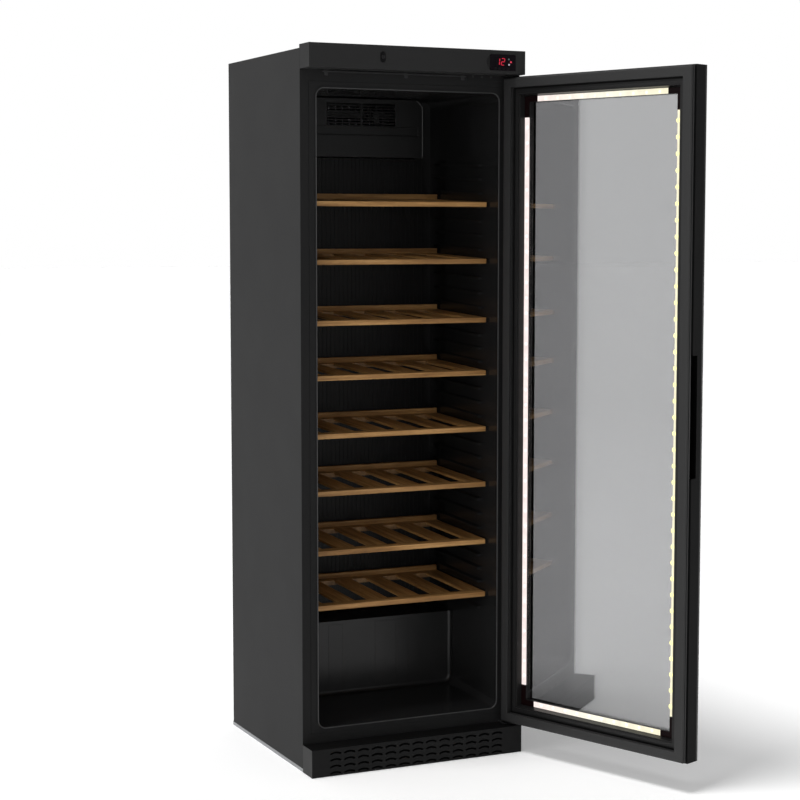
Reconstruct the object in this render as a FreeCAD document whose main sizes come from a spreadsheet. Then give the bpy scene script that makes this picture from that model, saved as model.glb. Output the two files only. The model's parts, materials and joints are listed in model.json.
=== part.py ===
import FreeCAD, Part
import math
import os
import re
import Sketcher

# Tall free-standing wine cooler, millimetres.  +Z is up, +Y points to the back, and the origin is the
# centre of the cabinet's footprint on the floor.  The glass door is built shut in a frame of its own,
# whose origin is the hinge axis, and is then turned open about that axis.

V = FreeCAD.Vector
DOWN = V(0, 0, -1)

CELLS = {
    # cabinet
    "half_width": 300,
    "front": -290,
    "back": 290,
    "top": 1840,
    "body_top": 1831,
    "skin": 1,
    "flange": -228,
    "frame_thick": 3,
    "panel_low": 10,
    "foam_low": 40,
    "machine_front": 100,
    "machine_top": 275,
    # opening and liner
    "open_half": 258,
    "open_low": 109,
    "open_high": 1736,
    "open_round": 22,
    "liner_wall": 2,
    "liner_back": 185,
    "step_front": 51,
    "step_floor": 121,
    "step_high": 322,
    "step_rise": 12,
    "step_round": 10,
    "band_proud": 0.8,
    "bead": 3,
    "seal_line_half": 278,
    "seal_line_low": 97,
    "seal_line_high": 1752,
    "seal_line_width": 1.6,
    "seal_line_deep": 1,
    # shelves and ribs
    "shelf_half": 253,
    "shelf_front": -168,
    "shelf_deep": 310,
    "shelf_thick": 12.5,
    "shelf_tilt": 2.2,
    "front_rail": 30,
    "rear_rail": 40,
    "slat_thick": 6,
    "slot_wide": 43,
    "slot_pitch": 93,
    "side_rail": 28,
    "upstand_high": 13,
    "upstand_thick": 12,
    "rib_reach": 9,
    "rib_high": 6,
    "rib_front": 38,
    "rib_long": 274,
    "rib_gap": 0.4,
    "level_one": 1455,
    "level_two": 1306,
    "level_three": 1150.5,
    "level_four": 1010,
    "level_five": 860,
    "level_six": 711.5,
    "level_seven": 557,
    "level_eight": 414,
    # cold-air duct, evaporator and fan
    "duct_front": 146,
    "duct_half": 225,
    "duct_low": 336,
    "duct_wall": 2.5,
    "flute_pitch": 12.5,
    "flute_wide": 4,
    "flute_high": 1.5,
    "cover_front": 75,
    "cover_half": 183,
    "cover_low": 1577,
    "cover_high": 1733,
    "cover_chamfer": 15,
    "cover_wall": 2.5,
    "grille_half": 100,
    "grille_low": 1662,
    "grille_high": 1720,
    "grille_bar": 3,
    "air_slot_low": 1636,
    "air_slot_high": 1659,
    "air_slot_half": 168,
    "fan_x": 46,
    "fan_z": 1691,
    "fan_radius": 26,
    "fan_hub": 9,
    "fan_shaft": 1.5,
    "coil_half": 150,
    # fascia, controls and lock
    "fascia_low": 1780,
    "fascia_wall": 2.5,
    "panel_x": 235,
    "panel_z": 1809,
    "panel_wide": 74,
    "panel_high": 41,
    "panel_proud": 0.8,
    "panel_thick": 4.8,
    "panel_round": 5,
    "window_wide": 36,
    "window_high": 25,
    "window_x": 211,
    "window_z": 1798,
    "button_wide": 9,
    "button_high": 4.4,
    "button_gap": 0.3,
    "button_z": 1791,
    "button_first": 209,
    "button_pitch": 12,
    "lock_x": -102,
    "lock_z": 1810.5,
    "lock_radius": 4.5,
    "lock_bore": 4.6,
    "lock_tube": 6,
    "rail_left": -243,
    "rail_right": 158,
    # plinth
    "plinth_top": 72,
    "plinth_low": 1,
    "plinth_wall": 2.5,
    "louvre_wide": 32,
    "louvre_pitch": 38.5,
    "louvre_rise": 4.5,
    "louvre_slit": 4.8,
    "louvre_row": 17,
    "louvre_left": -251,
    "louvre_low": 8,
    # door, in the hinge axis's own frame
    "hinge_x": 283,
    "hinge_y": -253.5,
    "door_open": 111,
    "door_right": 16,
    "door_left": -582,
    "door_front": -36.5,
    "door_back": 5.5,
    "door_low": 76,
    "door_high": 1776,
    "outer_glass": 6,
    "inner_glass": 4,
    "rail_wide": 46,
    "ledge_depth": 16.6,
    "ledge_slope": 4,
    "ledge_thick": 2.2,
    "sight_inset": 66,
    "trim_rib_out": 36,
    "trim_rib_in": 44,
    "trim_rib_high": 4,
    "seal_thick": 17,
    "seal_out": 3,
    "seal_in": 28,
    "seal_neck": 4,
    "seal_face": 5,
    "seal_round": 4.5,
    "spacer_out": 52,
    "spacer_in": 63,
    "led_out": 51,
    "led_in": 65,
    "led_thick": 1.8,
    "led_side_end": 105,
    "led_level_end": 93,
    "corner_thick": 3,
    "pin_radius": 3.5,
    "bush_bore": 3.55,
    "bush_radius": 4.5,
    "bush_long": 18,
    "pin_reach": 14,
    "grip_low": 779,
    "grip_high": 1082,
    "grip_size": 20,
    "grip_wall": 2,
    # feet, rollers and base
    "tray_back": 297,
    "tray_rim": 30,
    "tray_high": 10,
    "tray_plate": 6,
    "foot_x": 240,
    "foot_y": -165,
    "foot_radius": 18,
    "foot_high": 5,
    "stem_radius": 5,
    "stem_top": 32,
    "roller_x": 240,
    "roller_y": 245,
    "roller_radius": 12,
    "roller_wide": 10,
    "axle_radius": 2,
    "axle_bore": 2.06,
    # machine space
    "motor_x": 120,
    "motor_y": 196,
    "motor_radius": 74,
    "motor_low": 34,
    "motor_high": 150,
    "condenser_x": -110,
    "condenser_y": 190,
    "condenser_wide": 190,
    "condenser_deep": 110,
    "condenser_high": 130,
    "inlet_x": -215,
    "inlet_z": 62,
    "screw_radius": 2.9,
    "screw_head": 0.6,
}

# Left and right edges of the shallow upright bands on the liner's floor step
STEP_BANDS = ((-111, -70), (27, 88), (91, 127))
LEVELS = ["level_one", "level_two", "level_three", "level_four",
          "level_five", "level_six", "level_seven", "level_eight"]
BUTTONS = ["button_power", "button_light", "button_up", "button_down"]

doc = FreeCAD.newDocument("wine_cooler")
sheet = doc.addObject("Spreadsheet::Sheet", "dims")
for row, (alias, value) in enumerate(CELLS.items(), 1):
    sheet.set(f"A{row}", alias)
    sheet.set(f"B{row}", str(value))
    sheet.setAlias(f"B{row}", alias)
doc.recompute()

subparts = []


def cell(expression):
    """Write an expression's aliases as references to the sheet."""
    def reference(match):
        word = match.group(0)
        return "dims." + word if word in CELLS else word
    return re.sub(r"[a-z_]+", reference, str(expression))


def dim(alias):
    return float(sheet.get(alias))


def bind(obj, **properties):
    for name, expression in properties.items():
        obj.setExpression(name.replace("__", "."), cell(expression))
    return obj


def keep(label, obj, placement=None):
    """List an object as a sub-part, exported under this label."""
    obj.Label = label
    if placement is not None:
        obj.Placement = placement
    subparts.append(obj)
    return obj


# ---------------------------------------------------------------- Part primitives

def box(name, x, y, z, tilt=None):
    """A block from three (low, high) pairs of expressions, tilted about X if asked."""
    obj = doc.addObject("Part::Box", name)
    bind(obj, Length=f"({x[1]}) - ({x[0]})", Width=f"({y[1]}) - ({y[0]})", Height=f"({z[1]}) - ({z[0]})",
         Placement__Base__x=x[0], Placement__Base__y=y[0], Placement__Base__z=z[0])
    if tilt:
        bind(obj, Placement__Rotation__Angle=tilt, Placement__Rotation__Axis__x="1",
             Placement__Rotation__Axis__z="0")
    return obj


def cylinder(name, centre, radius, length, along="z"):
    """A cylinder from its centre of the low end, along x, y or z."""
    obj = doc.addObject("Part::Cylinder", name)
    turn = {"x": FreeCAD.Rotation(V(0, 1, 0), 90),
            "y": FreeCAD.Rotation(V(1, 0, 0), -90),
            "z": FreeCAD.Rotation()}[along]
    obj.Placement = FreeCAD.Placement(V(), turn)
    return bind(obj, Radius=radius, Height=length, Placement__Base__x=centre[0],
                Placement__Base__y=centre[1], Placement__Base__z=centre[2])


def fuse(name, shapes):
    obj = doc.addObject("Part::MultiFuse", name)
    obj.Shapes = shapes
    return obj


def cut(name, base, tools):
    obj = doc.addObject("Part::Cut", name)
    obj.Base = base
    obj.Tool = tools[0] if len(tools) == 1 else fuse(name + "_tools", tools)
    return obj


def compound(name, shapes):
    obj = doc.addObject("Part::Compound", name)
    obj.Links = shapes
    return obj


# ---------------------------------------------------------------- PartDesign helpers

def new_body(name):
    return doc.addObject("PartDesign::Body", name)


def polygon_sketch(body, name, role, points, offset):
    """A closed outline of (x, y) expressions on one of the body's own origin planes."""
    sketch = body.newObject("Sketcher::SketchObject", name)
    plane = next(f for f in body.Origin.OriginFeatures if f.Role == role)
    sketch.AttachmentSupport = (plane, [""])
    sketch.MapMode = "FlatFace"
    sketch.setExpression("AttachmentOffset.Base.z", cell(offset))
    count = len(points)
    start = [V(math.cos(2 * math.pi * i / count), math.sin(2 * math.pi * i / count), 0) for i in range(count)]
    for i in range(count):
        sketch.addGeometry(Part.LineSegment(start[i], start[(i + 1) % count]), False)
    for i in range(count):
        sketch.addConstraint(Sketcher.Constraint("Coincident", i, 2, (i + 1) % count, 1))
    for i, point in enumerate(points):
        for kind, expression in zip(("DistanceX", "DistanceY"), point):
            index = sketch.addConstraint(Sketcher.Constraint(kind, -1, 1, i, 1, 1.0))
            sketch.setExpression(f"Constraints[{index}]", cell(expression))
    return sketch


def rectangle(x, y):
    return [(x[0], y[0]), (x[1], y[0]), (x[1], y[1]), (x[0], y[1])]


def pad(body, name, role, points, low, high):
    """Extrude an outline between two coordinates along the plane's axis.  XZ outlines extrude along -Y."""
    offset = f"-({high})" if role == "XZ_Plane" else low
    sketch = polygon_sketch(body, name + "_outline", role, points, offset)
    feature = body.newObject("PartDesign::Pad", name)
    feature.Profile = sketch
    bind(feature, Length=f"({high}) - ({low})")
    body.Tip = feature
    return feature


def pocket(body, name, role, points, low, high):
    """Cut an outline out between two coordinates along the plane's axis."""
    offset = f"-({low})" if role == "XZ_Plane" else high
    sketch = polygon_sketch(body, name + "_outline", role, points, offset)
    feature = body.newObject("PartDesign::Pocket", name)
    feature.Profile = sketch
    bind(feature, Length=f"({high}) - ({low})")
    body.Tip = feature
    return feature


def linear_pattern(body, name, feature, direction, pitch, count):
    pattern = body.newObject("PartDesign::LinearPattern", name)
    pattern.Originals = [feature]
    pattern.Direction = (feature.Profile[0], [direction])
    pattern.Occurrences = count
    bind(pattern, Length=f"({pitch}) * {count - 1}")
    body.Tip = pattern
    return pattern


def round_edges(body, name, radius, chosen):
    """Fillet the edges of the body's tip that pass a test."""
    doc.recompute()
    base = body.Tip
    edges = [f"Edge{i}" for i, edge in enumerate(base.Shape.Edges, 1) if chosen(edge)]
    feature = body.newObject("PartDesign::Fillet", name)
    feature.Base = (base, edges)
    bind(feature, Radius=radius)
    body.Tip = feature
    return feature


def edge_runs(edge, direction):
    """True for a straight edge that runs along the direction, give or take 6 degrees."""
    if edge.Curve.TypeId != "Part::GeomLine":
        return False
    return abs(edge.tangentAt(edge.FirstParameter).dot(direction)) > math.cos(math.radians(6))


# ---------------------------------------------------------------- cabinet shell

def cabinet_skin():
    """Painted sheet panels round the foam."""
    for side, inner, outer in (("left", "-half_width + skin", "-half_width"),
                               ("right", "half_width - skin", "half_width")):
        low, high = (outer, inner) if side == "left" else (inner, outer)
        name = f"side_panel_{side}"
        keep(name, box(name, (low, high), ("flange + frame_thick", "back"), ("panel_low", "body_top - skin")))
    keep("top_panel", box("top_panel", ("-half_width", "half_width"), ("flange + frame_thick", "back"),
                          ("body_top - skin", "body_top")))
    keep("back_panel", box("back_panel", ("-half_width + skin", "half_width - skin"),
                           ("back - skin", "back"), ("machine_top", "body_top - skin")))


def rounded_block(name, x, z, radius, low, high):
    """A block with rounded upright corners seen from the front, between two depths."""
    body = new_body(name)
    pad(body, name + "_block", "XZ_Plane", rectangle(x, z), low, high)
    round_edges(body, name + "_corners", radius, lambda edge: edge_runs(edge, V(0, 1, 0)))
    return body


def front_frame():
    """Painted frame round the opening, with the seal's line pressed in and a bead at the edge."""
    plate = box("frame_plate", ("-half_width", "half_width"), ("flange", "flange + frame_thick"),
                ("panel_low", "body_top"))
    bead = rounded_block("frame_bead", ("-open_half - bead", "open_half + bead"),
                         ("open_low - bead", "open_high + bead"), "open_round + bead",
                         "flange - bead * 0.6", "flange + frame_thick / 2")
    opening = rounded_block("opening", ("-open_half", "open_half"), ("open_low", "open_high"), "open_round",
                            "flange - bead", "flange + frame_thick + 1")
    line_block = box("seal_line_block", ("-seal_line_half", "seal_line_half"),
                     ("flange - 1", "flange + seal_line_deep"), ("seal_line_low", "seal_line_high"))
    line_core = box("seal_line_core",
                    ("-seal_line_half + seal_line_width", "seal_line_half - seal_line_width"),
                    ("flange - 2", "flange + seal_line_deep + 1"),
                    ("seal_line_low + seal_line_width", "seal_line_high - seal_line_width"))
    grooved = cut("frame_grooved", plate, [cut("seal_line", line_block, [line_core])])
    keep("front_frame", cut("front_frame", fuse("frame_solid", [grooved, bead]), [opening]))


def liner_volume(name, grow, front_face):
    """The compartment's volume, grown outward by some wall thickness."""
    body = new_body(name)
    profile = [
        (front_face, f"open_low - {grow}"),
        (f"step_front + {grow}", f"step_floor - {grow}"),
        (f"step_front + {grow}", f"step_high - {grow}"),
        (f"liner_back + {grow}", f"step_high + step_rise - {grow}"),
        (f"liner_back + {grow}", f"open_high + {grow}"),
        (front_face, f"open_high + {grow}"),
    ]
    pad(body, name + "_block", "YZ_Plane", profile, f"-open_half - {grow}", f"open_half + {grow}")
    round_edges(body, name + "_long_corners", f"open_round + {grow}",
                lambda edge: edge_runs(edge, V(0, 1, 0)) and abs(edge.CenterOfMass.x) > 200
                and (edge.CenterOfMass.z > 1500 or edge.CenterOfMass.z < 200))
    return body


def shelf_supports():
    """Pairs of ribs on the side walls: one under each shelf and three between, tilted like the shelves."""
    rib = "shelf_thick + rib_gap + rib_high"
    tops = [f"level_one + (level_one - level_two) * {step} / 4" for step in (3, 2, 1)]
    for upper, lower in zip(LEVELS, LEVELS[1:]):
        tops += [f"{upper} - ({upper} - {lower}) * {step} / 4" for step in range(4)]
    tops += ["level_eight", "level_eight - (level_seven - level_eight) / 4"]
    bars = []
    for index, top in enumerate(tops, 1):
        base = f"{top} - ({rib}) + rib_front * tan(shelf_tilt)"
        bars.append(box(f"rib_bar_{index}", ("-open_half - liner_wall / 2", "open_half + liner_wall / 2"),
                        ("shelf_front + rib_front", "shelf_front + rib_front + rib_long"),
                        (base, f"{base} + rib_high"), tilt="shelf_tilt"))
    core = box("rib_core", ("-open_half + rib_reach", "open_half - rib_reach"),
               ("flange", "liner_back"), ("open_low", "open_high"))
    return cut("shelf_ribs", fuse("rib_bars", bars), [core])


def inner_liner_and_foam():
    """Moulded liner with its ribs and front flange, and the foam block that fills the walls."""
    cavity = liner_volume("cavity", "0", "flange - 5")
    round_edges(cavity, "cavity_step_corners", "step_round",
                lambda edge: abs(edge.CenterOfMass.y - dim("step_front")) < 0.5
                and edge.CenterOfMass.z < dim("step_high") - 50)
    outside = liner_volume("liner_outside", "liner_wall", "flange + frame_thick")
    flange = box("liner_flange", ("-open_half - 25", "open_half + 25"),
                 ("flange + frame_thick", "flange + frame_thick + liner_wall"),
                 ("open_low - 25", "open_high + 25"))
    shell = cut("liner_shell", fuse("liner_solid", [outside, flange]), [cavity])
    bands = [box(f"step_band_{i}", (str(left), str(right)), ("step_front - band_proud", "step_front + 1"),
                 ("step_floor + step_round", "step_high - step_round"))
             for i, (left, right) in enumerate(STEP_BANDS, 1)]
    keep("inner_liner", fuse("inner_liner", [shell, shelf_supports()] + bands))
    block = box("foam_block", ("-half_width + skin", "half_width - skin"),
                ("flange + frame_thick", "back - skin"), ("foam_low", "body_top - skin"))
    machine = box("machine_space", ("-half_width", "half_width"), ("machine_front", "back"),
                  ("foam_low - 5", "machine_top"))
    keep("insulation_foam", cut("insulation_foam", block, [machine, outside, flange]))


# ---------------------------------------------------------------- cold-air duct and evaporator

def duct_panel():
    """Fluted panel in front of the air duct, folded back at both sides."""
    body = new_body("duct_panel")
    wall = "duct_wall"
    channel = [("-duct_half", "duct_front"), ("duct_half", "duct_front"), ("duct_half", "liner_back"),
               (f"duct_half - {wall}", "liner_back"), (f"duct_half - {wall}", f"duct_front + {wall}"),
               (f"-duct_half + {wall}", f"duct_front + {wall}"), (f"-duct_half + {wall}", "liner_back"),
               ("-duct_half", "liner_back")]
    pad(body, "duct_channel", "XY_Plane", channel, "duct_low", "cover_low - 0.5")
    flute = pad(body, "flute", "XY_Plane",
                rectangle(("-duct_half + flute_pitch", "-duct_half + flute_pitch + flute_wide"),
                          ("duct_front - flute_high", "duct_front + 0.5")), "duct_low", "cover_low - 0.5")
    count = int((2 * dim("duct_half") - 2 * dim("flute_pitch")) / dim("flute_pitch")) + 1
    linear_pattern(body, "flutes", flute, "H_Axis", "flute_pitch", count)
    keep("duct_panel", body)


def cover_outline(inset):
    side, high, low = f"cover_half - {inset}", f"cover_high - {inset}", f"cover_low + {inset}"
    return [(f"-({side})", low), (side, low), (side, f"{high} - cover_chamfer"),
            (f"{side} - cover_chamfer", high), (f"-({side}) + cover_chamfer", high),
            (f"-({side})", f"{high} - cover_chamfer")]


def evaporator_cover():
    """Moulded box over the evaporator, with a barred fan grille and a long air slot below it."""
    body = new_body("evaporator_cover")
    pad(body, "cover_block", "XZ_Plane", cover_outline("0"), "cover_front", "liner_back")
    pocket(body, "cover_hollow", "XZ_Plane", cover_outline("cover_wall"),
           "cover_front + cover_wall", "liner_back")
    pocket(body, "air_slot", "XZ_Plane",
           rectangle(("-air_slot_half", "air_slot_half"), ("air_slot_low", "air_slot_high")),
           "cover_front", "cover_front + cover_wall * 0.5")
    slot_low, slot_high = "grille_low", "grille_low + grille_bar * 1.4"
    for side, low, high in (("left", "-grille_half", "-grille_bar"), ("right", "grille_bar", "grille_half")):
        slit = pocket(body, f"grille_slit_{side}", "XZ_Plane", rectangle((low, high), (slot_low, slot_high)),
                      "cover_front", "cover_front + cover_wall")
        linear_pattern(body, f"grille_slits_{side}", slit, "V_Axis",
                       "(grille_high - grille_low - grille_bar * 1.4) / 7", 8)
    keep("evaporator_cover", body)


def evaporator_coil():
    """Finned coil behind the cover: plates threaded on three tubes."""
    fins = [box(f"evaporator_fin_{i + 1}", (f"-coil_half + {i} * 20", f"-coil_half + {i} * 20 + 1"),
                ("cover_front + 62", "liner_back - 8"), ("cover_low + 12", "grille_high - 6"))
            for i in range(16)]
    tubes = [cylinder(f"evaporator_tube_{i + 1}",
                      ("-coil_half - 6", "cover_front + 82", f"cover_low + {30 + i * 40}"),
                      "4", "coil_half * 2 + 12", "x") for i in range(3)]
    keep("evaporator_coil", fuse("evaporator_coil", fins + tubes))


def fan_motor():
    """Motor on a cross bar fixed to the cover's side walls, with its shaft forward."""
    can = cylinder("motor_can", ("fan_x", "cover_front + 28", "fan_z"), "14", "20", "y")
    bar = box("motor_bar", ("-cover_half + cover_wall", "cover_half - cover_wall"),
              ("cover_front + 44", "cover_front + 48"), ("fan_z - 8", "fan_z + 8"))
    shaft = cylinder("motor_shaft", ("fan_x", "cover_front + 8", "fan_z"), "fan_shaft", "22", "y")
    keep("fan_motor", fuse("fan_motor", [can, bar, shaft]))


def fan_blades():
    """Hub with five pitched blades on the motor's shaft."""
    hub = cylinder("fan_hub", ("fan_x", "cover_front + 9", "fan_z"), "fan_hub", "14", "y")
    bore = cylinder("fan_bore", ("fan_x", "cover_front + 8", "fan_z"), "fan_shaft + 0.05", "16", "y")
    blades = []
    centre = V(dim("fan_x"), dim("cover_front") + 16, dim("fan_z"))
    for index in range(5):
        blade = doc.addObject("Part::Box", f"fan_blade_{index + 1}")
        bind(blade, Length="fan_radius - fan_hub + 2", Width="1.2", Height="15")
        pitch = FreeCAD.Rotation(V(1, 0, 0), 32)
        pitched = FreeCAD.Placement(V(dim("fan_hub") - 2, 0, -7.5), pitch, V(0, 0, 7.5))
        spun = FreeCAD.Placement(centre, FreeCAD.Rotation(V(0, 1, 0), 72 * index))
        blade.Placement = spun.multiply(pitched)
        blades.append(blade)
    keep("fan_blades", cut("fan_blades", fuse("fan_rotor", [hub] + blades), [bore]))


# ---------------------------------------------------------------- fascia, controls and lock

def fascia():
    """Hollow box over the door, open at the back, with a lip over the cabinet's top."""
    wall = "fascia_wall"
    body = new_body("fascia")
    pad(body, "fascia_block", "YZ_Plane",
        [("front", "fascia_low"), ("flange - 0.3", "fascia_low"), ("flange - 0.3", "body_top + 0.3"),
         ("flange + frame_thick", "body_top + 0.3"), ("flange + frame_thick", "top"), ("front", "top")],
        "-half_width", "half_width")
    pocket(body, "fascia_hollow", "XZ_Plane",
           rectangle((f"-half_width + {wall}", f"half_width - {wall}"),
                     (f"fascia_low + {wall}", f"top - {wall} * 3.5")),
           f"front + {wall}", "flange")
    pocket(body, "panel_hole", "XZ_Plane",
           rectangle(("panel_x - panel_wide / 2", "panel_x + panel_wide / 2"),
                     ("panel_z - panel_high / 2", "panel_z + panel_high / 2")),
           "front - 1", f"front + {wall}")
    rounded = [f"lock_x + lock_tube * cos({60 * i})" for i in range(6)]
    upright = [f"lock_z + lock_tube * sin({60 * i})" for i in range(6)]
    pocket(body, "lock_hole", "XZ_Plane", list(zip(rounded, upright)), "front - 1", f"front + {wall}")
    round_edges(body, "fascia_edges", "1.5",
                lambda edge: edge_runs(edge, V(1, 0, 0)) and abs(edge.CenterOfMass.y - dim("front")) < 0.1
                and edge.Length > 500)
    keep("fascia", body)


def button_span(index):
    left = f"button_first + button_pitch * {index}"
    return left, f"{left} + button_wide"


def control_panel():
    """Moulded controller face: a sunk display window, three lamp holes and four button holes."""
    body = new_body("control_panel")
    face, rear = "front - panel_proud", "front - panel_proud + panel_thick"
    pad(body, "panel_plate", "XZ_Plane",
        rectangle(("panel_x - panel_wide / 2 + 0.2", "panel_x + panel_wide / 2 - 0.2"),
                  ("panel_z - panel_high / 2 + 0.2", "panel_z + panel_high / 2 - 0.2")), face, rear)
    round_edges(body, "panel_corners", "panel_round", lambda edge: edge_runs(edge, V(0, 1, 0)))
    pocket(body, "window", "XZ_Plane",
           rectangle(("window_x", "window_x + window_wide"), ("window_z", "window_z + window_high")), face,
           f"{face} + 1")
    for index in range(4):
        left, right = button_span(index)
        pocket(body, f"button_hole_{index + 1}", "XZ_Plane",
               rectangle((f"{left} - button_gap", f"{right} + button_gap"),
                         ("button_z - button_gap", "button_z + button_high + button_gap")), face, rear)
    keep("control_panel", body)


def buttons():
    """Four small push buttons, each with a collar behind the panel."""
    for index, name in enumerate(BUTTONS):
        left, right = button_span(index)
        cap = box(name + "_cap", (left, right), ("front - panel_proud - 0.9", "front + 6"),
                  ("button_z", "button_z + button_high"))
        collar = box(name + "_collar", (f"{left} - 0.9", f"{right} + 0.9"), ("front + 4.6", "front + 6"),
                     ("button_z - 1.2", "button_z + button_high + 1.2"))
        keep(name, fuse(name, [cap, collar]))


def control_board():
    """Circuit board behind the controller, with a relay and a display block."""
    plate = box("board_plate", ("panel_x - 35", "panel_x + 35"), ("front + 16", "front + 17.6"),
                ("panel_z - 20", "panel_z + 17"))
    display = box("display_block", ("window_x + 2", "window_x + window_wide - 2"),
                  ("front + 9", "front + 16"), ("window_z + 2", "window_z + window_high - 4"))
    relay = box("relay", ("panel_x + 8", "panel_x + 28"), ("front + 17.6", "front + 32"),
                ("panel_z - 12", "panel_z + 4"))
    keep("control_board", fuse("control_board", [plate, display, relay]))


def lock():
    """Oval escutcheon with its tube through the fascia, and a slotted barrel that turns in it."""
    plate = fuse("escutcheon_oval", [
        cylinder("escutcheon_upper", ("lock_x", "front - 1.5", "lock_z + 6.5"), "7", "1.5", "y"),
        cylinder("escutcheon_lower", ("lock_x", "front - 1.5", "lock_z - 6.5"), "7", "1.5", "y"),
        box("escutcheon_middle", ("lock_x - 7", "lock_x + 7"), ("front - 1.5", "front"),
            ("lock_z - 6.5", "lock_z + 6.5")),
        cylinder("escutcheon_tube", ("lock_x", "front - 1", "lock_z"), "lock_tube * 0.86", "20", "y")])
    bore = cylinder("escutcheon_bore", ("lock_x", "front - 5", "lock_z"), "lock_bore", "30", "y")
    keep("lock_escutcheon", cut("lock_escutcheon", plate, [bore]))
    barrel = cylinder("barrel_body", ("lock_x", "front - 2.6", "lock_z"), "lock_radius", "24", "y")
    keyway = box("barrel_keyway", ("lock_x - 0.6", "lock_x + 0.6"), ("front - 3", "front + 2"),
                 ("lock_z - 3.2", "lock_z + 3.2"))
    cam = box("barrel_cam", ("lock_x - 3", "lock_x + 3"), ("front + 20.4", "front + 22.4"),
              ("lock_z - 4", "lock_z + 14"))
    keep("lock_barrel", fuse("lock_barrel", [cut("barrel_slotted", barrel, [keyway]), cam]))


def mounting_rail():
    """Thin strip with three clips on the frame, just under the fascia."""
    strip = box("rail_strip", ("rail_left", "rail_right"), ("flange - 6", "flange"),
                ("fascia_low - 6", "fascia_low - 3"))
    clips = [box(f"rail_clip_{i + 1}", (f"{x} - 5", f"{x} + 5"), ("flange - 2", "flange"),
                 ("fascia_low - 14", "fascia_low - 1"))
             for i, x in enumerate(("rail_left + 13", "(rail_left + rail_right) / 2 + 32", "rail_right - 8"))]
    keep("mounting_rail", fuse("mounting_rail", [strip] + clips))


# ---------------------------------------------------------------- plinth

def arc_slit_sketch(body):
    """An eyebrow slit: two arcs of one centre, closed by two short lines."""
    sketch = body.newObject("Sketcher::SketchObject", "louvre_outline")
    plane = next(f for f in body.Origin.OriginFeatures if f.Role == "XZ_Plane")
    sketch.AttachmentSupport = (plane, [""])
    sketch.MapMode = "FlatFace"
    sketch.setExpression("AttachmentOffset.Base.z", cell("-(front - 1)"))
    half, rise, slit = dim("louvre_wide") / 2, dim("louvre_rise"), dim("louvre_slit")
    radius = (half * half + rise * rise) / (2 * rise)
    centre = V(dim("louvre_left") + half, dim("louvre_low") + rise - radius, 0)
    spread = math.asin(half / radius)
    start, end = math.pi / 2 - spread, math.pi / 2 + spread
    upright = V(0, 0, 1)
    outer = Part.ArcOfCircle(Part.Circle(centre, upright, radius), start, end)
    inner = Part.ArcOfCircle(Part.Circle(centre, upright, radius - slit), start, end)
    sketch.addGeometry(outer, False)
    sketch.addGeometry(inner, False)
    sketch.addGeometry(Part.LineSegment(outer.StartPoint, inner.StartPoint), False)
    sketch.addGeometry(Part.LineSegment(inner.EndPoint, outer.EndPoint), False)
    joined_ends = (((0, 1), (2, 1)), ((1, 1), (2, 2)), ((1, 2), (3, 1)), ((0, 2), (3, 2)), ((0, 3), (1, 3)))
    for first, second in joined_ends:
        sketch.addConstraint(Sketcher.Constraint("Coincident", *first, *second))
    radius_rule = "(louvre_wide * louvre_wide / 4 + louvre_rise * louvre_rise) / (2 * louvre_rise)"
    rules = [("Radius", (0,), radius, radius_rule),
             ("Radius", (1,), radius - slit, f"{radius_rule} - louvre_slit"),
             ("DistanceX", (-1, 1, 0, 3), centre.x, "louvre_left + louvre_wide / 2"),
             ("DistanceY", (-1, 1, 0, 3), centre.y, f"louvre_low + louvre_rise - {radius_rule}"),
             ("DistanceX", (0, 2, 0, 1), 2 * half, "louvre_wide"),
             ("DistanceX", (-1, 1, 0, 1), centre.x + half, "louvre_left + louvre_wide")]
    for kind, places, value, expression in rules:
        index = sketch.addConstraint(Sketcher.Constraint(kind, *places, value))
        sketch.setExpression(f"Constraints[{index}]", cell(expression))
    return sketch


def plinth_grille():
    """Folded plinth, open below and behind, with four rows of thirteen slits."""
    wall = "plinth_wall"
    body = new_body("plinth_grille")
    pad(body, "plinth_block", "XZ_Plane",
        rectangle(("-half_width", "half_width"), ("plinth_low", "plinth_top")), "front", "flange - 0.3")
    pocket(body, "plinth_hollow", "XZ_Plane",
           rectangle((f"-half_width + {wall}", f"half_width - {wall}"), ("0", f"plinth_top - {wall}")),
           f"front + {wall}", "flange")
    pocket(body, "hinge_notch", "XY_Plane", rectangle(("233", "half_width + 1"), ("flange - 5", "flange")),
           f"plinth_top - {wall} * 2", "plinth_top + 1")
    slit = body.newObject("PartDesign::Pocket", "louvre")
    slit.Profile = arc_slit_sketch(body)
    bind(slit, Length=f"{wall} + 1.5")
    body.Tip = slit
    across = doc.addObject("PartDesign::LinearPattern", "louvre_columns")
    across.Direction = (slit.Profile[0], ["H_Axis"])
    across.Occurrences = 13
    bind(across, Length="louvre_pitch * 12")
    upward = doc.addObject("PartDesign::LinearPattern", "louvre_rows")
    upward.Direction = (slit.Profile[0], ["V_Axis"])
    upward.Occurrences = 4
    bind(upward, Length="louvre_row * 3")
    grid = body.newObject("PartDesign::MultiTransform", "louvres")
    grid.Originals = [slit]
    grid.Transformations = [across, upward]
    body.Tip = grid
    keep("plinth_grille", body)


# ---------------------------------------------------------------- hinges and screws

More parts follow.
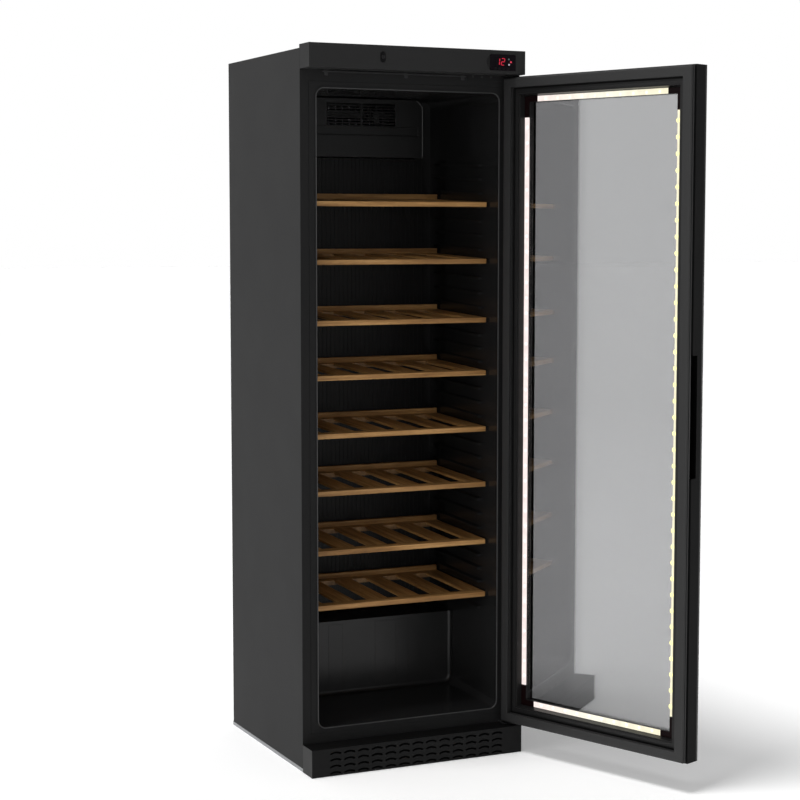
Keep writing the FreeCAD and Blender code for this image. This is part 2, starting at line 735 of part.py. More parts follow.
def hinge_brackets():
    """A folded bracket above and below the door, and the two pins the door turns on."""
    arm = (("hinge_x - 22", "hinge_x + 15"), ("hinge_y - 10", "flange"))
    top_arm = box("top_arm", *arm, ("door_high + 0.6", "fascia_low - 0.6"))
    top_leaf = box("top_leaf", ("rail_right + 8", "hinge_x - 14"), ("flange - 2", "flange"),
                   ("fascia_low - 15", "fascia_low - 0.6"))
    keep("hinge_bracket_top", cut("hinge_bracket_top", fuse("top_plates", [top_arm, top_leaf]), [
        cylinder("top_arm_hole", ("hinge_x", "hinge_y", "door_high"), "pin_radius", "10")]))
    low_arm = box("low_arm", *arm, ("plinth_top + 0.6", "door_low - 0.6"))
    low_leaf = box("low_leaf", ("hinge_x - 46", "hinge_x + 13"), ("flange - 3", "flange"),
                   ("plinth_top - 40", "door_low - 0.6"))
    keep("hinge_bracket_bottom", cut("hinge_bracket_bottom", fuse("low_plates", [low_arm, low_leaf]), [
        cylinder("low_arm_hole", ("hinge_x", "hinge_y", "plinth_top"), "pin_radius", "10")]))
    pins = [cylinder("pin_top", ("hinge_x", "hinge_y", "door_high - pin_reach"), "pin_radius",
                     "pin_reach + fascia_low - 0.6 - door_high"),
            cylinder("pin_bottom", ("hinge_x", "hinge_y", "plinth_top + 0.6"), "pin_radius",
                     "pin_reach + door_low - plinth_top - 0.6")]
    keep("hinge_pins", compound("hinge_pins", pins))


def cabinet_screws():
    """Flat screw heads on the hinge brackets and round the rear cover."""
    heads = [cylinder(f"top_screw_{i + 1}",
                      (f"rail_right + 22 + 26 * {i}", "flange - 2 - screw_head", "fascia_low - 3.8"),
                      "screw_radius", "screw_head", "y") for i in range(3)]
    heads += [cylinder(f"low_screw_{i + 1}",
                       (f"hinge_x - 36 + 20 * {i}", "flange - 3 - screw_head", "plinth_top - 22"),
                       "screw_radius", "screw_head", "y") for i in range(3)]
    heads += [cylinder(f"cover_screw_{i + 1}", (x, "back", z), "screw_radius", "screw_head", "y")
              for i, (x, z) in enumerate((x, z) for x in ("-half_width + 16", "0", "half_width - 16")
                                         for z in ("panel_low + 14", "machine_top - 10"))]
    keep("cabinet_screws", compound("cabinet_screws", heads))


# ---------------------------------------------------------------- base, feet and rollers

def base_tray():
    """Floor pan on a flat rim, with ears for the rear rollers and holes for the front feet."""
    outer = box("tray_outer", ("-half_width + skin", "half_width - skin"),
                ("flange + frame_thick", "tray_back"), ("0", "tray_high"))
    inner = box("tray_inner", ("-half_width + skin + tray_rim", "half_width - skin - tray_rim"),
                ("flange + frame_thick + tray_rim", "tray_back - tray_rim"), ("-1", "tray_high + 1"))
    plate = box("tray_plate", ("-half_width + 20", "half_width - 20"), ("flange + 20", "tray_back - 20"),
                ("tray_plate", "tray_plate + 2"))
    pieces, holes = [cut("tray_rim", outer, [inner]), plate], []
    for side in (-1, 1):
        tag = "left" if side < 0 else "right"
        middle = f"{side} * roller_x"
        holes.append(cylinder(f"foot_hole_{tag}", (f"{side} * foot_x", "foot_y", "0"),
                              "stem_radius + 0.3", "20"))
        holes.append(box(f"roller_window_{tag}", (f"{middle} - 6.5", f"{middle} + 6.5"),
                         ("roller_y - 15", "roller_y + 15"), ("-1", "12")))
        for end, offset in (("inner", -9), ("outer", 7)):
            pieces.append(box(f"ear_{tag}_{end}", (f"{middle} + {offset}", f"{middle} + {offset} + 2"),
                              ("roller_y - 7", "roller_y + 7"), ("tray_plate + 1", "roller_radius + 7")))
        holes.append(cylinder(f"axle_hole_{tag}", (f"{middle} - 12", "roller_y", "roller_radius"),
                              "axle_bore", "24", "x"))
    keep("base_tray", cut("base_tray", fuse("tray_pieces", pieces), holes))


def feet_and_rollers():
    """Two screw feet at the front, wound right in, and two rollers at the back."""
    for side in (-1, 1):
        tag = "left" if side < 0 else "right"
        pad_disc = cylinder(f"foot_pad_{tag}", (f"{side} * foot_x", "foot_y", "0"),
                            "foot_radius", "foot_high")
        stem = cylinder(f"foot_stem_{tag}", (f"{side} * foot_x", "foot_y", "foot_high - 1"), "stem_radius",
                        "stem_top - foot_high + 1")
        keep(f"levelling_foot_{tag}", fuse(f"levelling_foot_{tag}", [pad_disc, stem]))
        middle = f"{side} * roller_x"
        wheel = cylinder(f"wheel_{tag}", (f"{middle} - roller_wide / 2", "roller_y", "roller_radius"),
                         "roller_radius", "roller_wide", "x")
        axle = cylinder(f"axle_{tag}", (f"{middle} - 10", "roller_y", "roller_radius"),
                        "axle_radius", "20", "x")
        keep(f"roller_{tag}", fuse(f"roller_{tag}", [wheel, axle]))


# ---------------------------------------------------------------- machine space

def compressor():
    """Welded steel pot, turned to a domed profile, on a pressed foot plate."""
    body = new_body("compressor")
    radius, low, high = "motor_radius", "motor_low", "(motor_low + motor_high)"
    profile = [("0", low), (f"{radius} - 14", low), (radius, f"{low} + 14"),
               (radius, f"{high} - 45"), (f"{radius} - 6", f"{high} - 22"), (f"{radius} - 24", f"{high} - 7"),
               ("24", high), ("0", high)]
    sketch = polygon_sketch(body, "pot_outline", "XZ_Plane", profile, "0")
    pot = body.newObject("PartDesign::Revolution", "pot")
    pot.Profile = sketch
    pot.ReferenceAxis = (sketch, ["V_Axis"])
    pot.Angle = 360
    body.Tip = pot
    pad(body, "foot_plate", "XY_Plane", rectangle(("-84", "84"), ("-66", "66")),
        "motor_low - 3", "motor_low + 1")
    keep("compressor", body, FreeCAD.Placement(V(dim("motor_x"), dim("motor_y"), 0), FreeCAD.Rotation()))


def compressor_mounts():
    """Rubber grommets under the corners of the foot plate."""
    mounts = [cylinder(f"grommet_{i + 1}", (f"motor_x + {x}", f"motor_y + {y}", "tray_plate + 2"), "9",
                       "motor_low - 3 - tray_plate - 2")
              for i, (x, y) in enumerate((x, y) for x in (-70, 70) for y in (-54, 54))]
    keep("compressor_mounts", compound("compressor_mounts", mounts))


def condenser():
    """Finned block: plates threaded on four tubes, held by two end plates."""
    left, low = "condenser_x - condenser_wide / 2", "tray_plate + 2"
    front = "condenser_y - condenser_deep / 2"
    plates = [box(f"condenser_fin_{i + 1}", (f"{left} + {i} * 10", f"{left} + {i} * 10 + 1"),
                  (front, f"{front} + condenser_deep"),
                  (low if i in (0, 19) else f"{low} + 12", f"{low} + condenser_high"))
              for i in range(20)]
    tubes = [cylinder(f"condenser_tube_{i + 1}", (f"{left} - 5", f"condenser_y + {y}", f"{low} + {z}"), "4",
                      "condenser_wide + 11", "x")
             for i, (y, z) in enumerate((y, z) for y in (-25, 25) for z in (45, 95))]
    keep("condenser", fuse("condenser", plates + tubes))


def tube_along(points, radius, bend):
    """A round tube along straight runs joined by tangent arcs."""
    edges = []
    start = points[0]
    for before, corner, after in zip(points, points[1:], points[2:]):
        into, away = (corner - before).normalize(), (after - corner).normalize()
        half_turn = into.getAngle(away) / 2
        reach = bend * math.tan(half_turn)
        enter, leave = corner - into * reach, corner + away * reach
        middle_out = (away - into).normalize() * (bend / math.cos(half_turn) - bend)
        edges.append(Part.LineSegment(start, enter).toShape())
        edges.append(Part.Arc(enter, corner + middle_out, leave).toShape())
        start = leave
    edges.append(Part.LineSegment(start, points[-1]).toShape())
    path = Part.Wire(edges)
    section = Part.Wire([Part.Circle(points[0], points[1] - points[0], radius).toShape()])
    return path.makePipeShell([section], True, False)


def refrigerant_circuit():
    """Discharge tube from compressor to condenser, and the return tube with its drier."""
    motor, y, low = V(dim("motor_x"), dim("motor_y"), 0), dim("condenser_y"), dim("tray_plate") + 2
    right = dim("condenser_x") + dim("condenser_wide") / 2 + 6
    hot = [motor + V(-dim("motor_radius") - 0.4, 19, 110), V(28, y + 25, 110), V(28, y + 25, low + 150),
           V(10, y + 25, low + 150), V(10, y + 25, low + 95), V(right + 0.4, y + 25, low + 95)]
    run = dim("machine_top") - 45
    cold = [V(right + 0.4, y - 25, low + 45), V(30, y - 25, low + 45), V(30, y - 25, run),
            V(120, y - 25, run), V(120, y - 25, run + 32)]
    drier = Part.makeCylinder(9, 50, V(50, y - 25, run), V(1, 0, 0))
    shape = Part.Compound([tube_along(hot, 3, 12), tube_along(cold, 3, 12).fuse(drier)])
    obj = doc.addObject("Part::Feature", "refrigerant_circuit")
    obj.Shape = shape
    keep("refrigerant_circuit", obj, FreeCAD.Placement())


def evaporation_tray():
    """Shallow tray above the compressor that catches the defrost water."""
    outer = box("tray_pan_outer", ("motor_x - 60", "motor_x + 60"), ("motor_y - 50", "motor_y + 50"),
                ("motor_low + motor_high + 2", "motor_low + motor_high + 30"))
    inner = box("tray_pan_inner", ("motor_x - 58", "motor_x + 58"), ("motor_y - 48", "motor_y + 48"),
                ("motor_low + motor_high + 4", "motor_low + motor_high + 31"))
    keep("evaporation_tray", cut("evaporation_tray", outer, [inner]))


def rear_cover():
    """Vented cover of the machine space, with a hole for the mains socket."""
    body = new_body("rear_cover")
    pad(body, "cover_plate", "XZ_Plane",
        rectangle(("-half_width + skin", "half_width - skin"), ("panel_low + 0.5", "machine_top - 0.5")),
        "back - 1.5", "back")
    vent = pocket(body, "vent", "XZ_Plane", rectangle(("-120", "180"), ("100", "104")),
                  "back - 2", "back + 1")
    linear_pattern(body, "vents", vent, "V_Axis", "14", 11)
    pocket(body, "socket_hole", "XZ_Plane",
           rectangle(("inlet_x - 15", "inlet_x + 15"), ("inlet_z - 11", "inlet_z + 11")),
           "back - 2", "back + 1")
    keep("rear_cover", body)


def mains_inlet():
    """Appliance socket let into the rear cover, with its three pins."""
    flange = box("inlet_flange", ("inlet_x - 24", "inlet_x + 24"), ("back", "back + 2.5"),
                 ("inlet_z - 15", "inlet_z + 15"))
    housing = box("inlet_housing", ("inlet_x - 15", "inlet_x + 15"), ("back - 28", "back"),
                  ("inlet_z - 11", "inlet_z + 11"))
    recess = box("inlet_recess", ("inlet_x - 12.5", "inlet_x + 12.5"), ("back - 16", "back + 3"),
                 ("inlet_z - 8.5", "inlet_z + 8.5"))
    pins = [box(f"inlet_pin_{i + 1}", (f"inlet_x + {x} - 1", f"inlet_x + {x} + 1"),
                ("back - 20", "back - 1"), (f"inlet_z + {z} - 2", f"inlet_z + {z} + 2"))
            for i, (x, z) in enumerate(((-7, -2), (0, 2), (7, -2)))]
    shell = cut("inlet_shell", fuse("inlet_solid", [flange, housing]), [recess])
    keep("mains_inlet", fuse("mains_inlet", [shell] + pins))


# ---------------------------------------------------------------- shelves

def shelves():
    """Eight shelves: a frame, thinner slats with five long slots between them, and an upstand at the back."""
    for number, level in enumerate(LEVELS, 1):
        name = f"shelf_{number}"
        body = new_body(name)
        pad(body, name + "_board", "XY_Plane", rectangle(("-shelf_half", "shelf_half"), ("0", "shelf_deep")),
            "-shelf_thick", "0")
        slot = pocket(body, name + "_slot", "XY_Plane",
                      rectangle(("-slot_pitch * 2 - slot_wide / 2", "-slot_pitch * 2 + slot_wide / 2"),
                                ("front_rail", "shelf_deep - rear_rail")), "-shelf_thick", "0")
        linear_pattern(body, name + "_slots", slot, "H_Axis", "slot_pitch", 5)
        pocket(body, name + "_relief", "XY_Plane",
               rectangle(("-shelf_half + side_rail", "shelf_half - side_rail"),
                         ("front_rail", "shelf_deep - rear_rail")), "-shelf_thick", "-slat_thick")
        pad(body, name + "_upstand", "XY_Plane",
            rectangle(("-shelf_half", "shelf_half"), ("shelf_deep - upstand_thick", "shelf_deep")),
            "-shelf_thick", "upstand_high")
        turn = FreeCAD.Rotation(V(1, 0, 0), dim("shelf_tilt"))
        keep(name, body, FreeCAD.Placement(V(0, dim("shelf_front"), dim(level)), turn))


# ---------------------------------------------------------------- door, in the hinge axis's own frame

def door_placement():
    turn = FreeCAD.Rotation(V(0, 0, 1), dim("door_open"))
    return FreeCAD.Placement(V(dim("hinge_x"), dim("hinge_y"), 0), turn)


def inset(amount):
    """The door's rectangle, drawn in by an amount on all four sides."""
    return ((f"door_left + ({amount})", f"door_right - ({amount})"),
            (f"door_low + ({amount})", f"door_high - ({amount})"))


def door_slab(name, x, z, y):
    """A flat piece of the door, extruded through its thickness."""
    body = new_body(name)
    pad(body, name + "_slab", "XZ_Plane", rectangle(x, z), *y)
    return body


def door_ring(name, out, into, y):
    """A rectangular ring between two insets from the door's edge."""
    x, z = inset(out)
    block = box(name + "_block", x, y, z)
    x, z = inset(into)
    return cut(name, block, [box(name + "_hole", x, (f"({y[0]}) - 1", f"({y[1]}) + 1"), z)])


def door_rails():
    """Four rails behind the outer glass; the hinge rail is bored for its bushes, the other is notched."""
    span = ("door_front + outer_glass", "door_back")
    low, high = ("door_low", "door_low + rail_wide"), ("door_high - rail_wide", "door_high")
    across = ("door_left + rail_wide", "door_right - rail_wide")
    upright = ("door_low", "door_high")
    hinge_side = box("hinge_rail_bar", ("door_right - rail_wide", "door_right"), span, upright)
    seats = [cylinder("low_bush_seat", ("0", "0", "door_low - 1"), "bush_radius", "bush_long + 1"),
             cylinder("top_bush_seat", ("0", "0", "door_high - bush_long"), "bush_radius", "bush_long + 1")]
    keep("door_rail_hinge", cut("door_rail_hinge", hinge_side, seats), door_placement())
    body = new_body("door_rail_free")
    pad(body, "free_bar", "XY_Plane", rectangle(("door_left", "door_left + rail_wide"), span), *upright)
    pocket(body, "grip_notch", "XY_Plane",
           rectangle(("door_left - 1", "door_left + grip_size"), ("door_back - grip_size", "door_back + 1")),
           "grip_low", "grip_high")
    keep("door_rail_free", body, door_placement())
    keep("door_rail_top", door_slab("door_rail_top", across, high, span), door_placement())
    keep("door_rail_bottom", door_slab("door_rail_bottom", across, low, span), door_placement())


def handle_cup():
    """Moulded finger grip that lines the notch in the free rail."""
    wall = "grip_wall"
    block = box("grip_block", ("door_left", "door_left + grip_size"), ("door_back - grip_size", "door_back"),
                ("grip_low", "grip_high"))
    hollow = box("grip_hollow", ("door_left - 1", f"door_left + grip_size - {wall}"),
                 (f"door_back - grip_size + {wall}", "door_back + 1"),
                 (f"grip_low + {wall}", f"grip_high - {wall}"))
    keep("handle_cup", cut("handle_cup", block, [hollow]), door_placement())


def door_glass():
    """Full-size outer pane, and a smaller inner pane on a spacer."""
    outer = ("door_front", "door_front + outer_glass")
    keep("outer_glass", door_slab("outer_glass", *inset("0"), outer), door_placement())
    rear = "door_back - ledge_depth - ledge_thick"
    inner = (f"{rear} - inner_glass", rear)
    keep("inner_glass", door_slab("inner_glass", *inset("rail_wide + 0.3"), inner), door_placement())
    keep("glass_spacer", door_ring("glass_spacer", "spacer_out", "spacer_in",
                                   ("door_front + outer_glass", f"{rear} - inner_glass")), door_placement())


def inner_trim():
    """Moulded trim round the inner pane: a rounded rib, a sloping wall and the ledge of the light strips."""
    ledge = "door_back - ledge_depth"
    ring = door_ring("trim_ring", "rail_wide + 0.1", "sight_inset", (f"{ledge} - ledge_thick", "door_back"))
    funnel = doc.addObject("Part::Wedge", "trim_funnel")
    deep, shallow = inset("rail_wide + ledge_slope"), inset("rail_wide + 1")
    bind(funnel, Ymin=ledge, Ymax="door_back + 1", Xmin=deep[0][0], Xmax=deep[0][1], Zmin=deep[1][0],
         Zmax=deep[1][1], X2min=shallow[0][0], X2max=shallow[0][1], Z2min=shallow[1][0], Z2max=shallow[1][1])
    rib = door_ring("trim_rib", "trim_rib_out", "trim_rib_in", ("door_back", "door_back + trim_rib_high"))
    foot = door_ring("trim_foot", "trim_rib_out - 4", "rail_wide + 1", ("door_back", "door_back + 1"))
    keep("inner_trim", fuse("inner_trim", [cut("trim_channel", ring, [funnel]), rib, foot]), door_placement())


def door_gasket():
    """Magnetic seal: a narrow foot, a lip, a neck and the flat sealing face with rounded outer edges."""
    levels = [("0", "seal_neck", True), ("seal_neck", "seal_neck + seal_face", False),
              ("seal_neck + seal_face", "seal_thick - seal_face", True)]
    layers = []
    for index, (start, end, neck) in enumerate(levels, 1):
        out, into = ("seal_out + 4", "seal_in - 1") if neck else ("seal_out", "seal_in")
        layers.append(door_ring(f"seal_layer_{index}", out, into,
                                (f"door_back + {start}", f"door_back + {end}")))
    body = new_body("seal_face_ring")
    x, z = inset("seal_out")
    pad(body, "seal_face_pad", "XZ_Plane", rectangle(x, z), "door_back + seal_thick - seal_face",
        "door_back + seal_thick")
    round_edges(body, "seal_face_edges", "seal_round",
                lambda edge: abs(edge.CenterOfMass.y - dim("door_back") - dim("seal_thick")) < 0.01)
    x, z = inset("seal_in")
    pocket(body, "seal_face_hole", "XZ_Plane", rectangle(x, z), "door_back", "door_back + seal_thick + 1")
    keep("door_gasket", fuse("door_gasket", layers + [body]), door_placement())


def door_lights():
    """Four light strips on the trim's ledge, joined by four angled corner pieces."""
    low, high = "door_back - ledge_depth", "door_back - ledge_depth + led_thick"
    upright = ("door_low + led_side_end", "door_high - led_side_end")
    across = ("door_left + led_level_end", "door_right - led_level_end")
    sides = [(("door_left + led_out", "door_left + led_in"), upright),
             (("door_right - led_in", "door_right - led_out"), upright),
             (across, ("door_low + led_out", "door_low + led_in")),
             (across, ("door_high - led_in", "door_high - led_out"))]
    strips = [box(f"led_strip_{i + 1}", x, (low, high), z) for i, (x, z) in enumerate(sides)]
    keep("led_strips", compound("led_strips", strips), door_placement())
    reach = "door_back - ledge_depth + corner_thick"
    corners = []
    for index, (side, level) in enumerate((side, level) for side in (-1, 1) for level in (-1, 1)):
        def along_x(start, end, side=side):
            low_x, high_x = f"door_left + {start}", f"door_left + {end}"
            return (low_x, high_x) if side < 0 else (f"door_right - {end}", f"door_right - {start}")

        def along_z(start, end, level=level):
            low_z, high_z = f"door_low + {start}", f"door_low + {end}"
            return (low_z, high_z) if level < 0 else (f"door_high - {end}", f"door_high - {start}")

        name = f"led_corner_{index + 1}"
        upright = box(name + "_upright", along_x("led_out", "led_in"), (low, reach),
                      along_z("led_out", "(led_side_end - 0.3)"))
        level_arm = box(name + "_level", along_x("led_out", "(led_level_end - 0.3)"), (low, reach),
                        along_z("led_out", "led_in"))
        corners.append(fuse(name, [upright, level_arm]))
    keep("led_corners", compound("led_corners", corners), door_placement())


def hinge_bushes():
    """Plain bushes pressed into the hinge rail's two ends."""
    bushes = []
    for name, start in (("low_bush", "door_low"), ("top_bush", "door_high - bush_long")):
        sleeve = cylinder(name + "_sleeve", ("0", "0", start), "bush_radius", "bush_long")
        bore = cylinder(name + "_bore", ("0", "0", f"{start} - 1"), "bush_bore", "bush_long + 2")
        bushes.append(cut(name, sleeve, [bore]))
    keep("hinge_bushes", compound("hinge_bushes", bushes), door_placement())


# ---------------------------------------------------------------- build, check and write

cabinet_skin()
front_frame()
inner_liner_and_foam()
duct_panel()
evaporator_cover()
evaporator_coil()
fan_motor()
fan_blades()
fascia()
control_panel()
buttons()
control_board()
lock()
mounting_rail()
plinth_grille()
hinge_brackets()
cabinet_screws()
base_tray()
feet_and_rollers()
compressor()
compressor_mounts()
condenser()
refrigerant_circuit()
evaporation_tray()
rear_cover()
mains_inlet()
shelves()
door_rails()
handle_cup()
door_glass()
inner_trim()
door_gasket()
door_lights()
hinge_bushes()
doc.recompute()

failed = [obj.Name for obj in doc.Objects if "Invalid" in obj.State or "Error" in obj.State]
unsound = [obj.Label for obj in subparts if obj.Shape.isNull() or not obj.Shape.isValid()]
if failed or unsound:
    raise RuntimeError(f"failed features: {failed}; unsound sub-parts: {unsound}")

os.makedirs("parts", exist_ok=True)
for obj in subparts:
    obj.Shape.exportStep(f"parts/{obj.Label}.step")
    extent = obj.Shape.BoundBox
    print(f"{obj.Label}: {len(obj.Shape.Solids)} solid(s), {obj.Shape.Volume / 1000:.1f} cm3, "
          f"x {extent.XMin:.1f}..{extent.XMax:.1f}, y {extent.YMin:.1f}..{extent.YMax:.1f}, "
          f"z {extent.ZMin:.1f}..{extent.ZMax:.1f}")
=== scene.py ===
import json
import math

import bmesh
import bpy
from mathutils import Euler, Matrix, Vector


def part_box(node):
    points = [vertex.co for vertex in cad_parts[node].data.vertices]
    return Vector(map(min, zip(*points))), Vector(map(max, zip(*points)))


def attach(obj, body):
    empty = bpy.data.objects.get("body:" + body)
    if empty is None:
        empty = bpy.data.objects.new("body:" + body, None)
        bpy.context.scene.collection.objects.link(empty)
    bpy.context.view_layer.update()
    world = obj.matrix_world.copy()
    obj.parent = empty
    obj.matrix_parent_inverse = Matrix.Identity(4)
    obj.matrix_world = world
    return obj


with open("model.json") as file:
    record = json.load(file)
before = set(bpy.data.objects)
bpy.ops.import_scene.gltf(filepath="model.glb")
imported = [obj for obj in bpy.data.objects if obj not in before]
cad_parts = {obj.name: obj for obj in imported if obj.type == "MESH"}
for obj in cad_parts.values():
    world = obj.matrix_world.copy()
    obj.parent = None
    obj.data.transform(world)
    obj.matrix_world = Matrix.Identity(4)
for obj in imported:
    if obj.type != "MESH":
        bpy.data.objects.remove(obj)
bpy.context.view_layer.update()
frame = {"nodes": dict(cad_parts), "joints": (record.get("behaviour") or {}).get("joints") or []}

# Looks for the tall wine cooler, in metres.  The frame has its origin on the floor under the cabinet's
# centre, +Z up and +Y to the back.  The door stands open about its hinge line.

NODES = frame["nodes"]
JOINTS = {joint["name"]: joint for joint in frame["joints"]}

DOOR_OPEN = math.radians(-JOINTS["door_hinge"]["range_deg"][0])
HINGE = Vector(JOINTS["door_hinge"]["pos_m"])
HINGE.z = 0
SHELVES = [f"shelf_{number}" for number in range(1, 9)]

# The door, measured from its hinge line while it is shut.
DOOR_LEFT = -0.582
DOOR_RIGHT = 0.016
DOOR_BACK = 0.0055
DOOR_LOW, DOOR_HIGH = (corner.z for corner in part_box("outer_glass"))
PRINT_WIDTH = 0.0655

# The light strips, measured in from the door's edges.
STRIP_LEDGE = DOOR_BACK - 0.0166
STRIP_INNER_EDGE = 0.065
LENS_PITCH = 0.040
LENS_HEIGHT = 0.0032
SIDE_STRIP_END = 0.105
LEVEL_STRIP_END = 0.093

# The shelves' rails, and the width of the stripes in which the wood's tone changes.  The stripes are not
# lined up with the slats: each slat has a change of tone part of the way across.
FRONT_RAIL = 0.030
REAR_RAIL = 0.040
TONE_STRIPE = 0.095

# The bead round the liner's mouth; its lighter grey is a painted highlight.
MOUTH_HALF = 0.2574
MOUTH_LOW = 0.1096
MOUTH_HIGH = 1.7354
MOUTH_ROUND = 0.0214
MOUTH_BEAD_RADIUS = 0.0016
BEAD_DEPTH = 0.0011

# The rim down the evaporator cover's right side, light grey as a painted highlight.
RIM_RADIUS = 0.0019
RIM_INSET = 0.0012
RIM_CHAMFER = 0.015
RIM_BEND = 0.006

# The controller's display, lamps and the painted shadow crescent at its left end.
WINDOW_INSET = 0.001
DIGIT_HIGH = 0.0165
DIGIT_WIDE = 0.0090
DIGIT_LOW = 1.8025
DIGIT_BAR = 0.0019
DIGIT_JOINT = 0.0006
DIGIT_SLANT = 0.10
DIGIT_THICK = 0.0006
SHOWN = ((0.2155, "1"), (0.2300, "2"))
LIT_BARS = {"1": "bc", "2": "abged"}
LAMP_RADIUS = 0.0023
LAMP_THICK = 0.0007
LAMPS = {
    "lamp_cooling": ((0.2517, 1.8175), (0.10, 0.17, 0.17), 0.5),
    "lamp_alarm": ((0.2580, 1.8106), (0.80, 0.04, 0.09), 1.0),
    "lamp_light": ((0.2524, 1.8036), (0.50, 0.46, 0.52), 0.9),
}
GAP_LOW = 1.7905
GAP_HIGH = 1.8285
GAP_EDGE = 0.1978
GAP_OUTER_SAG = 0.0100
GAP_INNER_SAG = 0.0010
GAP_THICK = 0.0003

# Studio light: the sky's levels with 1 as white, the floor's glow, and the sun's direction, its strength
# in watts per square metre and its spread in degrees.
FRONT_LEFT_LIGHT = 1.0
FRONT_RIGHT_LIGHT = 0.32
OVERHEAD_LIGHT = 0.3
NEAR_FLOOR_GLOW = 0.125
FAR_FLOOR_GLOW = 0.035
SUN_DIRECTION = (0.36, 0.02, -1.0)
SUN_STRENGTH = 1.85
SUN_SPREAD = 18

CAMERA_PLACE = (-2.08206, -4.66139, 1.38876)
CAMERA_DOWN = 5.171
CAMERA_TURN = -24.874
CAMERA_LENS = 85.84


# ---------------------------------------------------------------- shader helpers

class Shader:
    """One material's node tree; each method adds a node and returns its output socket."""

    def __init__(self, name):
        self.material = bpy.data.materials.new(name)
        self.material.use_nodes = True
        self.tree = self.material.node_tree
        self.tree.nodes.clear()
        self.output = self.tree.nodes.new("ShaderNodeOutputMaterial")
        self.place = self.add("ShaderNodeTexCoord").outputs["Object"]

    def add(self, kind, inputs=None, **settings):
        """A node of this kind, with inputs by name or number and settings as attributes."""
        node = self.tree.nodes.new(kind)
        for key, value in settings.items():
            setattr(node, key, value)
        for key, value in (inputs or {}).items():
            self.feed(node.inputs[key], value)
        return node

    def feed(self, socket, value):
        if isinstance(value, bpy.types.NodeSocket):
            self.tree.links.new(value, socket)
        elif socket.type == "RGBA" and len(value) == 3:
            socket.default_value = (*value, 1)
        else:
            socket.default_value = value

    def stretched(self, scale, place=None):
        node = self.add("ShaderNodeMapping", {"Vector": place or self.place, "Scale": scale})
        return node.outputs["Vector"]

    def noise(self, scale, detail=3, stretch=(1, 1, 1), roughness=0.5, place=None):
        vector = self.stretched(tuple(scale * s for s in stretch), place)
        node = self.add("ShaderNodeTexNoise", {"Vector": vector, "Scale": 1.0, "Detail": detail,
                                               "Roughness": roughness})
        return node.outputs["Fac"]

    def ramp(self, factor, stops):
        node = self.add("ShaderNodeValToRGB", {"Fac": factor})
        ramp = node.color_ramp
        while len(ramp.elements) < len(stops):
            ramp.elements.new(0.5)
        for element, (position, colour) in zip(ramp.elements, stops):
            element.position = position
            element.color = (*colour, 1)
        return node.outputs["Color"]

    def math(self, operation, first, second=0.0):
        return self.add("ShaderNodeMath", {0: first, 1: second}, operation=operation).outputs[0]

    def span(self, value, low, high, to_low=0.0, to_high=1.0):
        node = self.add("ShaderNodeMapRange", {"Value": value, "From Min": low, "From Max": high,
                                               "To Min": to_low, "To Max": to_high})
        return node.outputs["Result"]

    def mix(self, factor, first, second, blend="MIX"):
        """Mix two colours; a Mix node keeps its colour sockets at inputs 6 and 7 and output 2."""
        node = self.add("ShaderNodeMix", {0: factor, 6: first, 7: second},
                        data_type="RGBA", blend_type=blend)
        return node.outputs[2]

    def mix_values(self, factor, first, second):
        return self.add("ShaderNodeMix", {0: factor, 2: first, 3: second}).outputs[0]

    def mix_shaders(self, factor, first, second):
        return self.add("ShaderNodeMixShader", {0: factor, 1: first, 2: second}).outputs[0]

    def axes(self, place=None):
        node = self.add("ShaderNodeSeparateXYZ", {"Vector": place or self.place})
        return node.outputs["X"], node.outputs["Y"], node.outputs["Z"]

    def bump(self, height, strength, distance, normal=None):
        """Relief from a height, on top of a rounded-edge normal if one is given."""
        inputs = {"Height": height, "Strength": strength, "Distance": distance}
        if normal is not None:
            inputs["Normal"] = normal
        return self.add("ShaderNodeBump", inputs).outputs["Normal"]

    def rounded(self, radius):
        """A normal that rounds off sharp edges."""
        return self.add("ShaderNodeBevel", {"Radius": radius}, samples=4).outputs["Normal"]

    def principled(self, **inputs):
        """A Principled surface; an underscore in a name stands for a space in the socket's name."""
        named = {key.replace("_", " "): value for key, value in inputs.items()}
        return self.add("ShaderNodeBsdfPrincipled", named).outputs["BSDF"]

    def finish(self, surface):
        self.tree.links.new(surface, self.output.inputs["Surface"])
        return self.material


def shade(colour, factor):
    """A colour made lighter or darker by a factor."""
    return tuple(channel * factor for channel in colour)


def grey(level):
    return (level,) * 3


def door_place(shader):
    """Coordinates in the shut door's own frame, with the hinge line as origin."""
    node = shader.add("ShaderNodeMapping", {"Vector": shader.place, "Location": tuple(HINGE),
                                            "Rotation": (0, 0, DOOR_OPEN)}, vector_type="TEXTURE")
    return node.outputs["Vector"]


# ---------------------------------------------------------------- materials

def coated_metal(name, colour, roughness, shine, peel=1500):
    """Powder coat: orange-peel bump, faint cloudy tone and slightly uneven gloss."""
    s = Shader(name)
    cloud = s.noise(2.0, 3)
    tone = s.ramp(cloud, [(0.3, shade(colour, 0.96)), (0.7, shade(colour, 1.04))])
    grain = s.noise(peel, 2)
    fleck = s.ramp(grain, [(0.35, grey(0.93)), (0.65, grey(1.07))])
    gloss = s.span(s.noise(9, 4), 0.3, 0.7, roughness - 0.02, roughness + 0.02)
    normal = s.bump(grain, 0.3, 0.0001, s.rounded(0.0006))
    return s.finish(s.principled(Base_Color=s.mix(1.0, tone, fleck, "MULTIPLY"), Roughness=gloss,
                                 Specular_IOR_Level=shine, Normal=normal))


